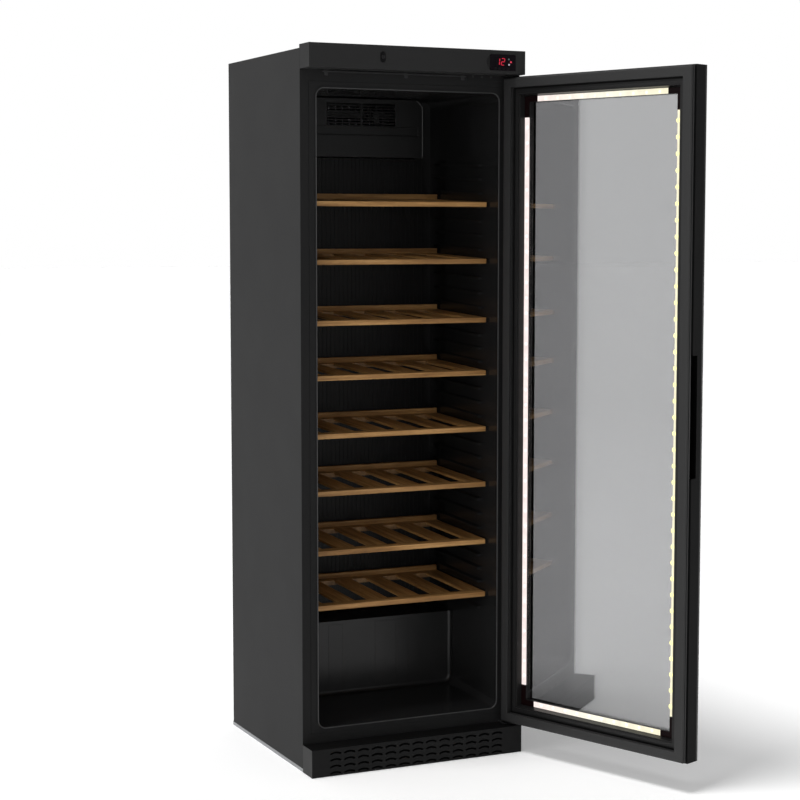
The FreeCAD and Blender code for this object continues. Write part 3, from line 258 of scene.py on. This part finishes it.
def moulded_plastic(name, colour, roughness, shine=0.3, edge=0.0008):
    """Injection-moulded plastic: fine spark texture, faint flow marks and slightly uneven gloss."""
    s = Shader(name)
    flow = s.noise(6.0, 3, stretch=(1, 1, 0.3))
    tone = s.ramp(flow, [(0.3, shade(colour, 0.9)), (0.7, shade(colour, 1.1))])
    grain = s.noise(2200, 2)
    gloss = s.span(s.noise(12, 3), 0.3, 0.7, roughness - 0.02, roughness + 0.03)
    normal = s.bump(grain, 0.2, 0.00006, s.rounded(edge))
    return s.finish(s.principled(Base_Color=tone, Roughness=gloss, Specular_IOR_Level=shine,
                                 Normal=normal))


def soft_rubber(name, colour):
    """Matt rubber with a dusty bloom."""
    s = Shader(name)
    dust = s.noise(260, 5, roughness=0.7)
    tone = s.ramp(dust, [(0.35, shade(colour, 0.85)), (0.75, shade(colour, 1.25))])
    normal = s.bump(s.noise(900, 3), 0.3, 0.00015, s.rounded(0.0012))
    return s.finish(s.principled(Base_Color=tone, Roughness=s.span(dust, 0.3, 0.7, 0.5, 0.62),
                                 Specular_IOR_Level=0.5, Normal=normal))


def brushed_metal(name, colour, roughness, stretch):
    """Metal with fine drawn lines along one direction."""
    s = Shader(name)
    lines = s.noise(1.0, 4, stretch=stretch, roughness=0.65)
    tone = s.ramp(lines, [(0.3, shade(colour, 0.75)), (0.7, shade(colour, 1.15))])
    gloss = s.span(lines, 0.3, 0.7, roughness - 0.06, roughness + 0.1)
    normal = s.bump(lines, 0.2, 0.00005, s.rounded(0.0004))
    return s.finish(s.principled(Base_Color=tone, Metallic=1.0, Roughness=gloss, Normal=normal))


def galvanised(name):
    """Zinc-coated sheet with its frosty spangle."""
    s = Shader(name)
    spangle = s.add("ShaderNodeTexVoronoi", {"Vector": s.stretched((70, 70, 70)), "Scale": 1.0})
    crystal = s.add("ShaderNodeSeparateColor", {"Color": spangle.outputs["Color"]}).outputs["Red"]
    tone = s.ramp(crystal, [(0.0, (0.27, 0.275, 0.285)), (1.0, (0.36, 0.37, 0.38))])
    streak = s.ramp(s.noise(9, 5, stretch=(1, 1, 0.15)), [(0.3, grey(0.2)), (0.7, grey(0.5))])
    normal = s.bump(crystal, 0.1, 0.0001, s.rounded(0.0004))
    return s.finish(s.principled(Base_Color=s.mix(0.2, tone, streak), Metallic=0.85,
                                 Roughness=s.span(crystal, 0, 1, 0.38, 0.55), Normal=normal))


def wood_boards(s):
    """Where a point is on a shelf: the slat mask, a seed per stripe and the distance to a rail's joint."""
    x, y, z = s.axes()
    shelf_low, shelf_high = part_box("shelf_1")
    front_joint = shelf_low.y + FRONT_RAIL
    rear_joint = shelf_high.y - REAR_RAIL
    rear = s.math("GREATER_THAN", y, rear_joint)
    is_slat = s.math("MULTIPLY", s.math("GREATER_THAN", y, front_joint), s.math("LESS_THAN", y, rear_joint))
    stripe = s.math("FLOOR", s.math("DIVIDE", s.math("ADD", x, 1.0), TONE_STRIPE))
    slat_stripe = s.math("MULTIPLY", stripe, is_slat)
    storey = s.math("FLOOR", s.math("MULTIPLY", z, 8.0))
    seed = s.math("ADD", s.math("MULTIPLY", slat_stripe, 1.37),
                  s.math("ADD", s.math("MULTIPLY", storey, 3.1), rear))
    gap = s.math("MINIMUM", s.math("ABSOLUTE", s.math("SUBTRACT", y, front_joint)),
                 s.math("ABSOLUTE", s.math("SUBTRACT", y, rear_joint)))
    return is_slat, seed, gap


def hardwood(name):
    """Oiled boards: the rails' grain runs across, the slats' grain runs front to back."""
    s = Shader(name)
    is_slat, seed, gap = wood_boards(s)
    tint = s.add("ShaderNodeTexWhiteNoise", {"W": seed}, noise_dimensions="1D").outputs["Value"]
    shift = s.add("ShaderNodeCombineXYZ", {"X": seed, "Y": s.math("MULTIPLY", seed, 0.7), "Z": seed})
    moved = s.add("ShaderNodeVectorMath", {0: s.place, 1: shift.outputs[0]}, operation="ADD").outputs[0]

    def grain(size, detail):
        across = s.noise(size, detail, stretch=(0.05, 1, 1), roughness=0.6, place=moved)
        lengthwise = s.noise(size, detail, stretch=(1, 0.05, 1), roughness=0.6, place=moved)
        return s.mix_values(is_slat, across, lengthwise)

    figure = grain(70, 5)
    pores = grain(900, 2)
    body = s.ramp(figure, [(0.28, (0.180, 0.086, 0.025)), (0.46, (0.330, 0.168, 0.053)),
                           (0.60, (0.480, 0.262, 0.092)), (0.75, (0.620, 0.365, 0.148))])
    toned = s.mix(s.span(tint, 0, 1, 0.0, 0.4), body, (0.190, 0.096, 0.032))
    toned = s.mix(s.span(pores, 0.52, 0.72, 0.0, 0.45), toned, (0.060, 0.028, 0.011))
    joint = s.span(gap, 0.0003, 0.0009, 0.6, 0.0)
    toned = s.mix(joint, toned, (0.02, 0.01, 0.006))
    height = s.math("SUBTRACT", figure, s.math("ADD", s.math("MULTIPLY", pores, 0.5), joint))
    normal = s.bump(height, 0.35, 0.0004, s.rounded(0.0012))
    return s.finish(s.principled(Base_Color=toned, Roughness=s.span(figure, 0.3, 0.7, 0.55, 0.42),
                                 Specular_IOR_Level=0.3, Normal=normal))


def coated_glass(s, tint, mirror_share):
    """See-through with a tint, a mirror share and faint wipe marks in both."""
    wipes = s.noise(5, 5, stretch=(1, 1, 0.4), roughness=0.7)
    tone = s.ramp(wipes, [(0.2, shade(tint, 0.985)), (0.8, tint)])
    smear = s.span(wipes, 0.3, 0.8, 0.0, 0.02)
    clear = s.add("ShaderNodeBsdfTransparent", {"Color": tone}).outputs[0]
    gloss = s.add("ShaderNodeBsdfGlossy", {"Color": (0.97, 0.98, 0.98), "Roughness": smear}).outputs[0]
    return s.mix_shaders(mirror_share, clear, gloss)


def clear_pane(name):
    """Nearly colourless glass with a coating that mirrors."""
    s = Shader(name)
    return s.finish(coated_glass(s, (0.97, 0.97, 0.972), 0.135))


def printed_pane(name):
    """Tinted glass whose border is printed black."""
    s = Shader(name)
    x, _, z = s.axes(door_place(s))
    from_sides = s.math("MINIMUM", s.math("SUBTRACT", x, DOOR_LEFT), s.math("SUBTRACT", DOOR_RIGHT, x))
    from_ends = s.math("MINIMUM", s.math("SUBTRACT", z, DOOR_LOW), s.math("SUBTRACT", DOOR_HIGH, z))
    printed = s.math("LESS_THAN", s.math("MINIMUM", from_sides, from_ends), PRINT_WIDTH)
    ink_tone = s.ramp(s.noise(300, 4), [(0.3, grey(0.006)), (0.7, grey(0.010))])
    ink = s.principled(Base_Color=ink_tone, Roughness=0.12)
    return s.finish(s.mix_shaders(printed, coated_glass(s, (0.515, 0.515, 0.52), 0.06), ink))


def glowing(name, colour, strength, spread=0.25):
    """A lit diffuser: milky plastic whose glow swells a little along its length."""
    s = Shader(name)
    cloud = s.noise(60, 3)
    lit = s.ramp(cloud, [(0.3, shade(colour, 1 - spread)), (0.7, colour)])
    milky = s.ramp(cloud, [(0.3, shade(colour, 0.25)), (0.7, shade(colour, 0.35))])
    return s.finish(s.principled(Base_Color=milky, Roughness=0.5, Emission_Color=lit,
                                 Emission_Strength=strength, Normal=s.bump(s.noise(700, 2), 0.2, 0.0001)))


def strip_light(name):
    """The door's lit strips: yellowish at the free side, cream in the middle and pinkish at the hinges."""
    s = Shader(name)
    across, _, _ = s.axes(door_place(s))
    warmth = s.ramp(s.span(across, DOOR_LEFT, DOOR_RIGHT),
                    [(0.12, (1.0, 0.93, 0.66)), (0.5, (1.0, 0.97, 0.82)), (0.88, (1.0, 0.87, 0.84))])
    patches = s.span(s.noise(45, 3), 0.35, 0.65, 0.90, 1.04)
    return s.finish(s.principled(Base_Color=(0.06, 0.06, 0.055), Roughness=0.5, Emission_Color=warmth,
                                 Emission_Strength=patches, Normal=s.bump(s.noise(700, 2), 0.2, 0.0001)))


def circuit_board(name):
    """Green lacquered board with a brick pattern standing in for its tracks."""
    s = Shader(name)
    tracks = s.add("ShaderNodeTexBrick", {"Vector": s.stretched((260, 260, 260)), "Scale": 1.0,
                                          "Color1": (0.02, 0.16, 0.06), "Color2": (0.03, 0.22, 0.08),
                                          "Mortar": (0.01, 0.09, 0.03)}).outputs["Color"]
    return s.finish(s.principled(Base_Color=tracks, Roughness=0.35,
                                 Normal=s.bump(s.noise(900, 2), 0.3, 0.0001)))


def foam(name):
    """Rigid cream foam with open cells at its skin."""
    s = Shader(name)
    cells = s.add("ShaderNodeTexVoronoi", {"Vector": s.stretched((900, 900, 900)), "Scale": 1.0})
    depth = cells.outputs["Distance"]
    tone = s.ramp(depth, [(0.0, (0.5, 0.42, 0.24)), (0.8, (0.75, 0.66, 0.42))])
    return s.finish(s.principled(Base_Color=tone, Roughness=0.9, Normal=s.bump(depth, 0.6, 0.0004)))


def dress(material, *names):
    """Give carried-over CAD nodes one material."""
    for name in names:
        slots = NODES[name].data.materials
        slots.clear()
        slots.append(material)


def dress_shell():
    """The outer skin, front, plinth and back."""
    dress(coated_metal("cabinet_coat", (0.028, 0.028, 0.0282), 0.50, 0.035),
          "side_panel_left", "side_panel_right", "top_panel")
    dress(coated_metal("fascia_coat", (0.028, 0.028, 0.0282), 0.42, 0.025, peel=1900), "fascia")
    dress(coated_metal("front_coat", (0.018, 0.018, 0.0182), 0.42, 0.03, peel=1900),
          "front_frame", "hinge_bracket_top", "hinge_bracket_bottom")
    dress(moulded_plastic("plinth_plastic", (0.0035, 0.0035, 0.0036), 0.40, 0.14), "plinth_grille")
    dress(galvanised("zinc_sheet"), "back_panel", "rear_cover", "base_tray")
    dress(foam("cream_foam"), "insulation_foam")


def dress_inside():
    """The liner and what hangs on it."""
    dress(moulded_plastic("liner_plastic", (0.0125, 0.0125, 0.0127), 0.24, 0.30), "inner_liner")
    dress(moulded_plastic("duct_plastic", (0.0042, 0.0042, 0.0043), 0.34, 0.16), "duct_panel")
    dress(moulded_plastic("cover_plastic", (0.0050, 0.0050, 0.0051), 0.30, 0.22, edge=0.004),
          "evaporator_cover")
    dress(hardwood("oiled_hardwood"), *SHELVES)


def dress_controls():
    """The controller, its buttons and board, and the lock."""
    dress(moulded_plastic("panel_plastic", (0.0075, 0.0055, 0.0075), 0.30, 0.04), "control_panel")
    dress(moulded_plastic("button_plastic", (0.012, 0.010, 0.012), 0.38, 0.05, edge=0.0005),
          "button_power", "button_light", "button_up", "button_down")
    dress(circuit_board("circuit_board"), "control_board")
    dress(brushed_metal("blackened_nickel", (0.014, 0.014, 0.0145), 0.34, (40, 40, 900)),
          "lock_escutcheon")
    dress(brushed_metal("dark_nickel", (0.045, 0.045, 0.046), 0.30, (40, 40, 900)), "lock_barrel")


def dress_machinery():
    """Cooling parts, hinge pins, screws, feet and rollers."""
    dress(brushed_metal("fin_aluminium", (0.62, 0.63, 0.64), 0.32, (900, 900, 60)),
          "evaporator_coil", "condenser")
    dress(moulded_plastic("black_nylon", (0.02, 0.02, 0.02), 0.48), "fan_motor", "fan_blades",
          "evaporation_tray", "mains_inlet", "levelling_foot_left", "levelling_foot_right",
          "hinge_bushes", "glass_spacer")
    dress(brushed_metal("dull_steel", (0.30, 0.30, 0.31), 0.38, (60, 900, 900)),
          "hinge_pins", "roller_left", "roller_right")
    dress(brushed_metal("blackened_steel", (0.055, 0.055, 0.056), 0.42, (60, 900, 900)),
          "mounting_rail", "cabinet_screws")
    dress(coated_metal("compressor_enamel", (0.012, 0.012, 0.013), 0.22, 0.5, peel=600), "compressor")
    dress(soft_rubber("grommet_rubber", (0.025, 0.025, 0.025)), "compressor_mounts")
    dress(brushed_metal("copper_tube", (0.72, 0.38, 0.24), 0.30, (300, 300, 300)), "refrigerant_circuit")


def dress_door():
    """The door's frame, trim, seal, panes and light strips."""
    dress(coated_metal("door_frame_coat", (0.0085, 0.0085, 0.0086), 0.45, 0.035),
          "door_rail_hinge", "door_rail_free", "door_rail_top", "door_rail_bottom")
    dress(moulded_plastic("trim_plastic", (0.010, 0.0098, 0.0099), 0.36, 0.25), "inner_trim")
    dress(moulded_plastic("grip_plastic", (0.0012, 0.0012, 0.0012), 0.5, 0.06), "handle_cup")
    dress(soft_rubber("seal_rubber", (0.0115, 0.0115, 0.0117)), "door_gasket")
    dress(printed_pane("tinted_pane"), "outer_glass")
    dress(clear_pane("clear_pane"), "inner_glass")
    dress(strip_light("strip_base"), "led_strips")
    dress(moulded_plastic("corner_plastic", (0.0050, 0.0008, 0.0011), 0.42, 0.08), "led_corners")


# ---------------------------------------------------------------- small mesh pieces

def new_object(name, mesh, material):
    mesh.materials.append(material)
    piece = bpy.data.objects.new(name, mesh)
    bpy.context.scene.collection.objects.link(piece)
    return piece


def mesh_object(name, material, vertices, faces):
    mesh = bpy.data.meshes.new(name)
    mesh.from_pydata(vertices, [], faces)
    return new_object(name, mesh, material)


def smooth(piece, angle=35):
    """Shade smooth across edges flatter than an angle in degrees."""
    bpy.context.view_layer.objects.active = piece
    piece.select_set(True)
    bpy.ops.object.shade_smooth_by_angle(angle=math.radians(angle))
    piece.select_set(False)


class Solid:
    """Collects closed shapes in one mesh."""

    def __init__(self):
        self.mesh = bmesh.new()

    def prism(self, outline, low, high, place):
        """Extrude an outline, with place turning (u, v, depth) into a point."""
        lower = [self.mesh.verts.new(place(u, v, low)) for u, v in outline]
        upper = [self.mesh.verts.new(place(u, v, high)) for u, v in outline]
        self.mesh.faces.new(lower[::-1])
        self.mesh.faces.new(upper)
        count = len(outline)
        for i in range(count):
            j = (i + 1) % count
            self.mesh.faces.new((lower[i], lower[j], upper[j], upper[i]))

    def dome(self, centre, radius, height, place, rings=4, sides=20):
        """A low round lens that stands on a flat base."""
        loops = []
        for ring in range(rings):
            rise = math.pi / 2 * ring / rings
            loop = []
            for side in range(sides):
                turn = 2 * math.pi * side / sides
                u = centre[0] + radius * math.cos(rise) * math.cos(turn)
                v = centre[1] + radius * math.cos(rise) * math.sin(turn)
                loop.append(self.mesh.verts.new(place(u, v, height * math.sin(rise))))
            loops.append(loop)
        top = self.mesh.verts.new(place(centre[0], centre[1], height))
        self.mesh.faces.new(loops[0][::-1])
        for lower, upper in zip(loops, loops[1:]):
            for i in range(sides):
                j = (i + 1) % sides
                self.mesh.faces.new((lower[i], lower[j], upper[j], upper[i]))
        for i in range(sides):
            self.mesh.faces.new((loops[-1][i], loops[-1][(i + 1) % sides], top))

    def piece(self, name, body, slot, material):
        """Turn the shapes into one piece that rides on a body and wears the given material; the slot is not
        used.
        """
        bmesh.ops.recalc_face_normals(self.mesh, faces=self.mesh.faces)
        mesh = bpy.data.meshes.new(name)
        self.mesh.to_mesh(mesh)
        self.mesh.free()
        result = new_object(name, mesh, material)
        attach(result, body)
        return result


def on_front(y_face):
    """Places (x, z, depth) on a face that looks forward, depth standing out of it."""
    return lambda x, z, depth: Vector((x, y_face - depth, z))


def on_door(u, v, depth):
    """Places (x, z, height above the light ledge) of the shut door on the open door."""
    local = Vector((u, STRIP_LEDGE + depth, v))
    return HINGE + Euler((0, 0, DOOR_OPEN)).to_matrix() @ local


def segment(centre, long, upright):
    """A seven-segment bar with pointed ends, leaning with the digit."""
    u, v = centre
    half, point = long / 2, DIGIT_BAR / 2
    shape = [(-half, 0), (-half + point, -point), (half - point, -point), (half, 0),
             (half - point, point), (-half + point, point)]
    if upright:
        shape = [(-b, a) for a, b in shape]
    return [(u + a + DIGIT_SLANT * (v + b - DIGIT_LOW), v + b) for a, b in shape]


def display():
    """Two lit digits behind the controller's window."""
    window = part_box("control_panel")[0].y + WINDOW_INSET
    digits = Solid()
    for left, digit in SHOWN:
        middle, right = left + DIGIT_WIDE / 2, left + DIGIT_WIDE
        bars = {"a": (middle, DIGIT_HIGH), "g": (middle, DIGIT_HIGH / 2), "d": (middle, 0),
                "b": (right, DIGIT_HIGH * 0.75), "c": (right, DIGIT_HIGH * 0.25),
                "e": (left, DIGIT_HIGH * 0.25)}
        for key in LIT_BARS[digit]:
            u, rise = bars[key]
            upright = key in "bce"
            long = (DIGIT_HIGH / 2 if upright else DIGIT_WIDE) - DIGIT_JOINT
            outline = segment((u, DIGIT_LOW + rise), long, upright)
            digits.prism(outline, 0, DIGIT_THICK, on_front(window))
    digits.piece("display_digits", "cabinet", "panel_plastic",
                 glowing("digit_glow", (0.62, 0.010, 0.040), 0.95))


def lamps():
    """Three round lamps beside the digits."""
    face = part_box("control_panel")[0].y
    for name, (centre, colour, strength) in LAMPS.items():
        lamp = Solid()
        lamp.dome(centre, LAMP_RADIUS, LAMP_THICK, on_front(face))
        smooth(lamp.piece(name, "cabinet", "panel_plastic", glowing(name + "_glow", colour, strength)))


def shadow_crescent(steps=16):
    """A thin black crescent at the controller's left end: painted shadow where the bezel's rounded end
    meets the fascia.
    """

    def curve(sag):
        parts = [k / steps for k in range(steps + 1)]
        return [(GAP_EDGE - sag * math.sin(math.pi * t), GAP_LOW + (GAP_HIGH - GAP_LOW) * t)
                for t in parts]

    outline = curve(GAP_OUTER_SAG) + curve(GAP_INNER_SAG)[::-1][1:-1]
    crescent = Solid()
    crescent.prism(outline[::-1], 0, GAP_THICK, on_front(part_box("fascia")[0].y))
    # A near-black sheet standing in for the shadow in the recess by the bezel.
    crescent.piece("controller_shadow_crescent", "cabinet", "panel_plastic",
                   moulded_plastic("crescent_shadow_black", (0.002, 0.0015, 0.002), 0.6))


def across_bar(angle):
    """The direction across an upright bar that leans by an angle in the front plane."""
    return Vector((math.cos(angle), 0, math.sin(angle)))


def round_bar(name, material, path, radius, closed=False, sides=12):
    """Sweep a circle along a path; each path entry is a point and the direction across the bar there."""
    depth = Vector((0, 1, 0))
    turns = [2 * math.pi * side / sides for side in range(sides)]
    vertices = [point + (across * math.cos(turn) + depth * math.sin(turn)) * radius
                for point, across in path for turn in turns]
    faces = []
    for i in range(len(path) if closed else len(path) - 1):
        j = (i + 1) % len(path)
        for k in range(sides):
            m = (k + 1) % sides
            faces.append((i * sides + k, i * sides + m, j * sides + m, j * sides + k))
    if not closed:
        last = (len(path) - 1) * sides
        faces.append(tuple(range(sides))[::-1])
        faces.append(tuple(range(last, last + sides)))
    bar = mesh_object(name, material, vertices, faces)
    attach(bar, "cabinet")
    smooth(bar, 60)


def mouth_bead(steps=8):
    """The rolled bead just inside the liner's mouth, in a lighter grey that paints the lip's highlight."""
    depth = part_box("front_frame")[0].y + BEAD_DEPTH
    path = []
    for side_x, side_z, start in ((1, 1, 0), (-1, 1, 90), (-1, -1, 180), (1, -1, 270)):
        edge_z = MOUTH_HIGH if side_z > 0 else MOUTH_LOW
        centre = Vector((side_x * (MOUTH_HALF - MOUTH_ROUND), depth, edge_z - side_z * MOUTH_ROUND))
        for step in range(steps + 1):
            outward = across_bar(math.radians(start + 90 * step / steps))
            path.append((centre + outward * MOUTH_ROUND, outward))
    # The bead's shape is real; its grey, lighter than the frame, is a painted highlight.
    round_bar("mouth_bead", moulded_plastic("bead_highlight_plastic", (0.032, 0.032, 0.0325), 0.30, 0.6),
              path, MOUTH_BEAD_RADIUS, closed=True)


def cover_edge():
    """The rounded rim down the right side of the evaporator cover, light grey to paint the edge's
    highlight.
    """
    low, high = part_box("evaporator_cover")
    x, y = high.x - RIM_INSET, low.y + RIM_INSET
    corner = high.z - RIM_CHAMFER
    points = [(x - RIM_CHAMFER - 0.004, high.z - 0.003, 80), (x - RIM_CHAMFER, high.z - 0.004, 60),
              (x - RIM_BEND * 0.5, corner - 0.001, 25), (x, corner - RIM_BEND, 0), (x, low.z + 0.002, 0)]
    path = [(Vector((u, y, v)), across_bar(math.radians(slant))) for u, v, slant in points]
    # Light grey against the dark cover: a painted highlight on its rounded edge.
    round_bar("cover_rim", moulded_plastic("rim_highlight_plastic", (0.030, 0.030, 0.0305), 0.26, 0.6),
              path, RIM_RADIUS)


def slit_shade_sheet(inset=0.030):
    """A black sheet close behind the plinth's slits: painted shade that keeps the slits dark."""
    low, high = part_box("plinth_grille")
    bottom, top = low.z + 0.003, high.z - 0.006
    outline = [(low.x + inset, bottom), (high.x - inset, bottom),
               (high.x - inset, top), (low.x + inset, top)]
    screen = Solid()
    screen.prism(outline, -0.004, 0, on_front(low.y + 0.003))
    # A near-black sheet standing in for the shade behind the slits.
    screen.piece("slit_shade_sheet", "cabinet", "panel_plastic",
                 moulded_plastic("slit_shade_black", (0.0012, 0.0012, 0.0012), 0.8, 0.02))


def light_lenses():
    """A row of lit lenses along each light strip, set toward the glass."""
    heights = spaced(DOOR_LOW + SIDE_STRIP_END, DOOR_HIGH - SIDE_STRIP_END)
    widths = spaced(DOOR_LEFT + LEVEL_STRIP_END, DOOR_RIGHT - LEVEL_STRIP_END)
    small, large, margin = 0.0048, 0.0068, 0.006
    hinge_line = DOOR_RIGHT - STRIP_INNER_EDGE + margin
    free_line = DOOR_LEFT + STRIP_INNER_EDGE - 0.0015
    low_line = DOOR_LOW + STRIP_INNER_EDGE - margin
    top_line = DOOR_HIGH - STRIP_INNER_EDGE + margin
    rows = {
        "hinge": ([(hinge_line, z) for z in heights], small, (1.0, 0.90, 0.90)),
        "free": ([(free_line, z) for z in heights], large, (1.0, 0.93, 0.42)),
        "low": ([(x, low_line) for x in widths], small, (1.0, 0.97, 0.86)),
        "top": ([(x, top_line) for x in widths], small, (1.0, 0.95, 0.72)),
    }
    for side, (centres, radius, colour) in rows.items():
        lenses = Solid()
        for centre in centres:
            lenses.dome(centre, radius, LENS_HEIGHT, on_door, rings=3, sides=14)
        smooth(lenses.piece(f"lenses_{side}", "door", "led_white",
                            glowing(f"lens_glow_{side}", colour, 1.25, spread=0.1)))


def spaced(low, high):
    """Lens places at the pitch, centred between two ends."""
    count = int((high - low) / LENS_PITCH)
    start = (low + high - (count - 1) * LENS_PITCH) / 2
    return [start + k * LENS_PITCH for k in range(count)]


# ---------------------------------------------------------------- stage, light and camera

def stage(half=60):
    """A plain pale floor that glows a little near the object, where its own light is blocked."""
    s = Shader("pale_floor")
    tone = s.ramp(s.noise(2, 3), [(0.3, grey(0.95)), (0.7, grey(0.96))])
    distance = s.add("ShaderNodeVectorMath", {0: s.place}, operation="LENGTH").outputs["Value"]
    glow = s.span(distance, 2.0, 9.0, NEAR_FLOOR_GLOW, FAR_FLOOR_GLOW)
    material = s.finish(s.principled(Base_Color=tone, Roughness=0.9, Specular_IOR_Level=0.0,
                                     Emission_Color=(1, 1, 1), Emission_Strength=glow))
    corners = [(-half, -half, 0), (half, -half, 0), (half, half, 0), (-half, half, 0)]
    mesh_object("floor", material, corners, [(0, 1, 2, 3)])


def sky():
    """Soft studio light by direction: white behind and to the left, dimmer in front, dim overhead."""
    world = bpy.data.worlds.new("studio")
    bpy.context.scene.world = world
    world.use_nodes = True
    nodes, links = world.node_tree.nodes, world.node_tree.links

    def span(value, from_low, from_high, to_low, to_high):
        node = nodes.new("ShaderNodeMapRange")
        limits = {"From Min": from_low, "From Max": from_high, "To Min": to_low, "To Max": to_high}
        for key, number in limits.items():
            node.inputs[key].default_value = number
        links.new(value, node.inputs["Value"])
        return node.outputs["Result"]

    def product(first, second):
        node = nodes.new("ShaderNodeMath")
        node.operation = "MULTIPLY"
        links.new(first, node.inputs[0])
        links.new(second, node.inputs[1])
        return node.outputs[0]

    direction = nodes.new("ShaderNodeSeparateXYZ")
    links.new(nodes.new("ShaderNodeTexCoord").outputs["Generated"], direction.inputs[0])
    lost_to_right = span(direction.outputs["X"], -0.5, 0.4, FRONT_LEFT_LIGHT - 1, FRONT_RIGHT_LIGHT - 1)
    in_front = span(direction.outputs["Y"], 0.15, -0.35, 0, 1)
    level = span(product(lost_to_right, in_front), -1, 0, 0, 1)
    overhead = span(direction.outputs["Z"], 0.35, 0.85, 1, OVERHEAD_LIGHT)
    nodes["Background"].inputs["Color"].default_value = (1, 1, 1, 1)
    links.new(product(level, overhead), nodes["Background"].inputs["Strength"])


def high_sun():
    """A soft sun from above and a little to the left."""
    light = bpy.data.lights.new("high_sun", "SUN")
    light.energy = SUN_STRENGTH
    light.angle = math.radians(SUN_SPREAD)
    lamp = bpy.data.objects.new("high_sun", light)
    lamp.rotation_euler = Vector(SUN_DIRECTION).to_track_quat("-Z", "Y").to_euler()
    bpy.context.scene.collection.objects.link(lamp)


def camera():
    """A long lens from the front left, looking slightly down."""
    data = bpy.data.cameras.new("camera")
    data.sensor_width = 36
    data.lens = CAMERA_LENS
    data.clip_end = 200
    view = bpy.data.objects.new("camera", data)
    view.location = CAMERA_PLACE
    view.rotation_euler = (math.radians(90 - CAMERA_DOWN), 0, math.radians(CAMERA_TURN))
    bpy.context.scene.collection.objects.link(view)
    bpy.context.scene.camera = view


dress_shell()
dress_inside()
dress_controls()
dress_machinery()
dress_door()
display()
lamps()
shadow_crescent()
mouth_bead()
cover_edge()
slit_shade_sheet()
light_lenses()
stage()
sky()
high_sun()
camera()
bpy.context.scene.view_settings.view_transform = "Standard"
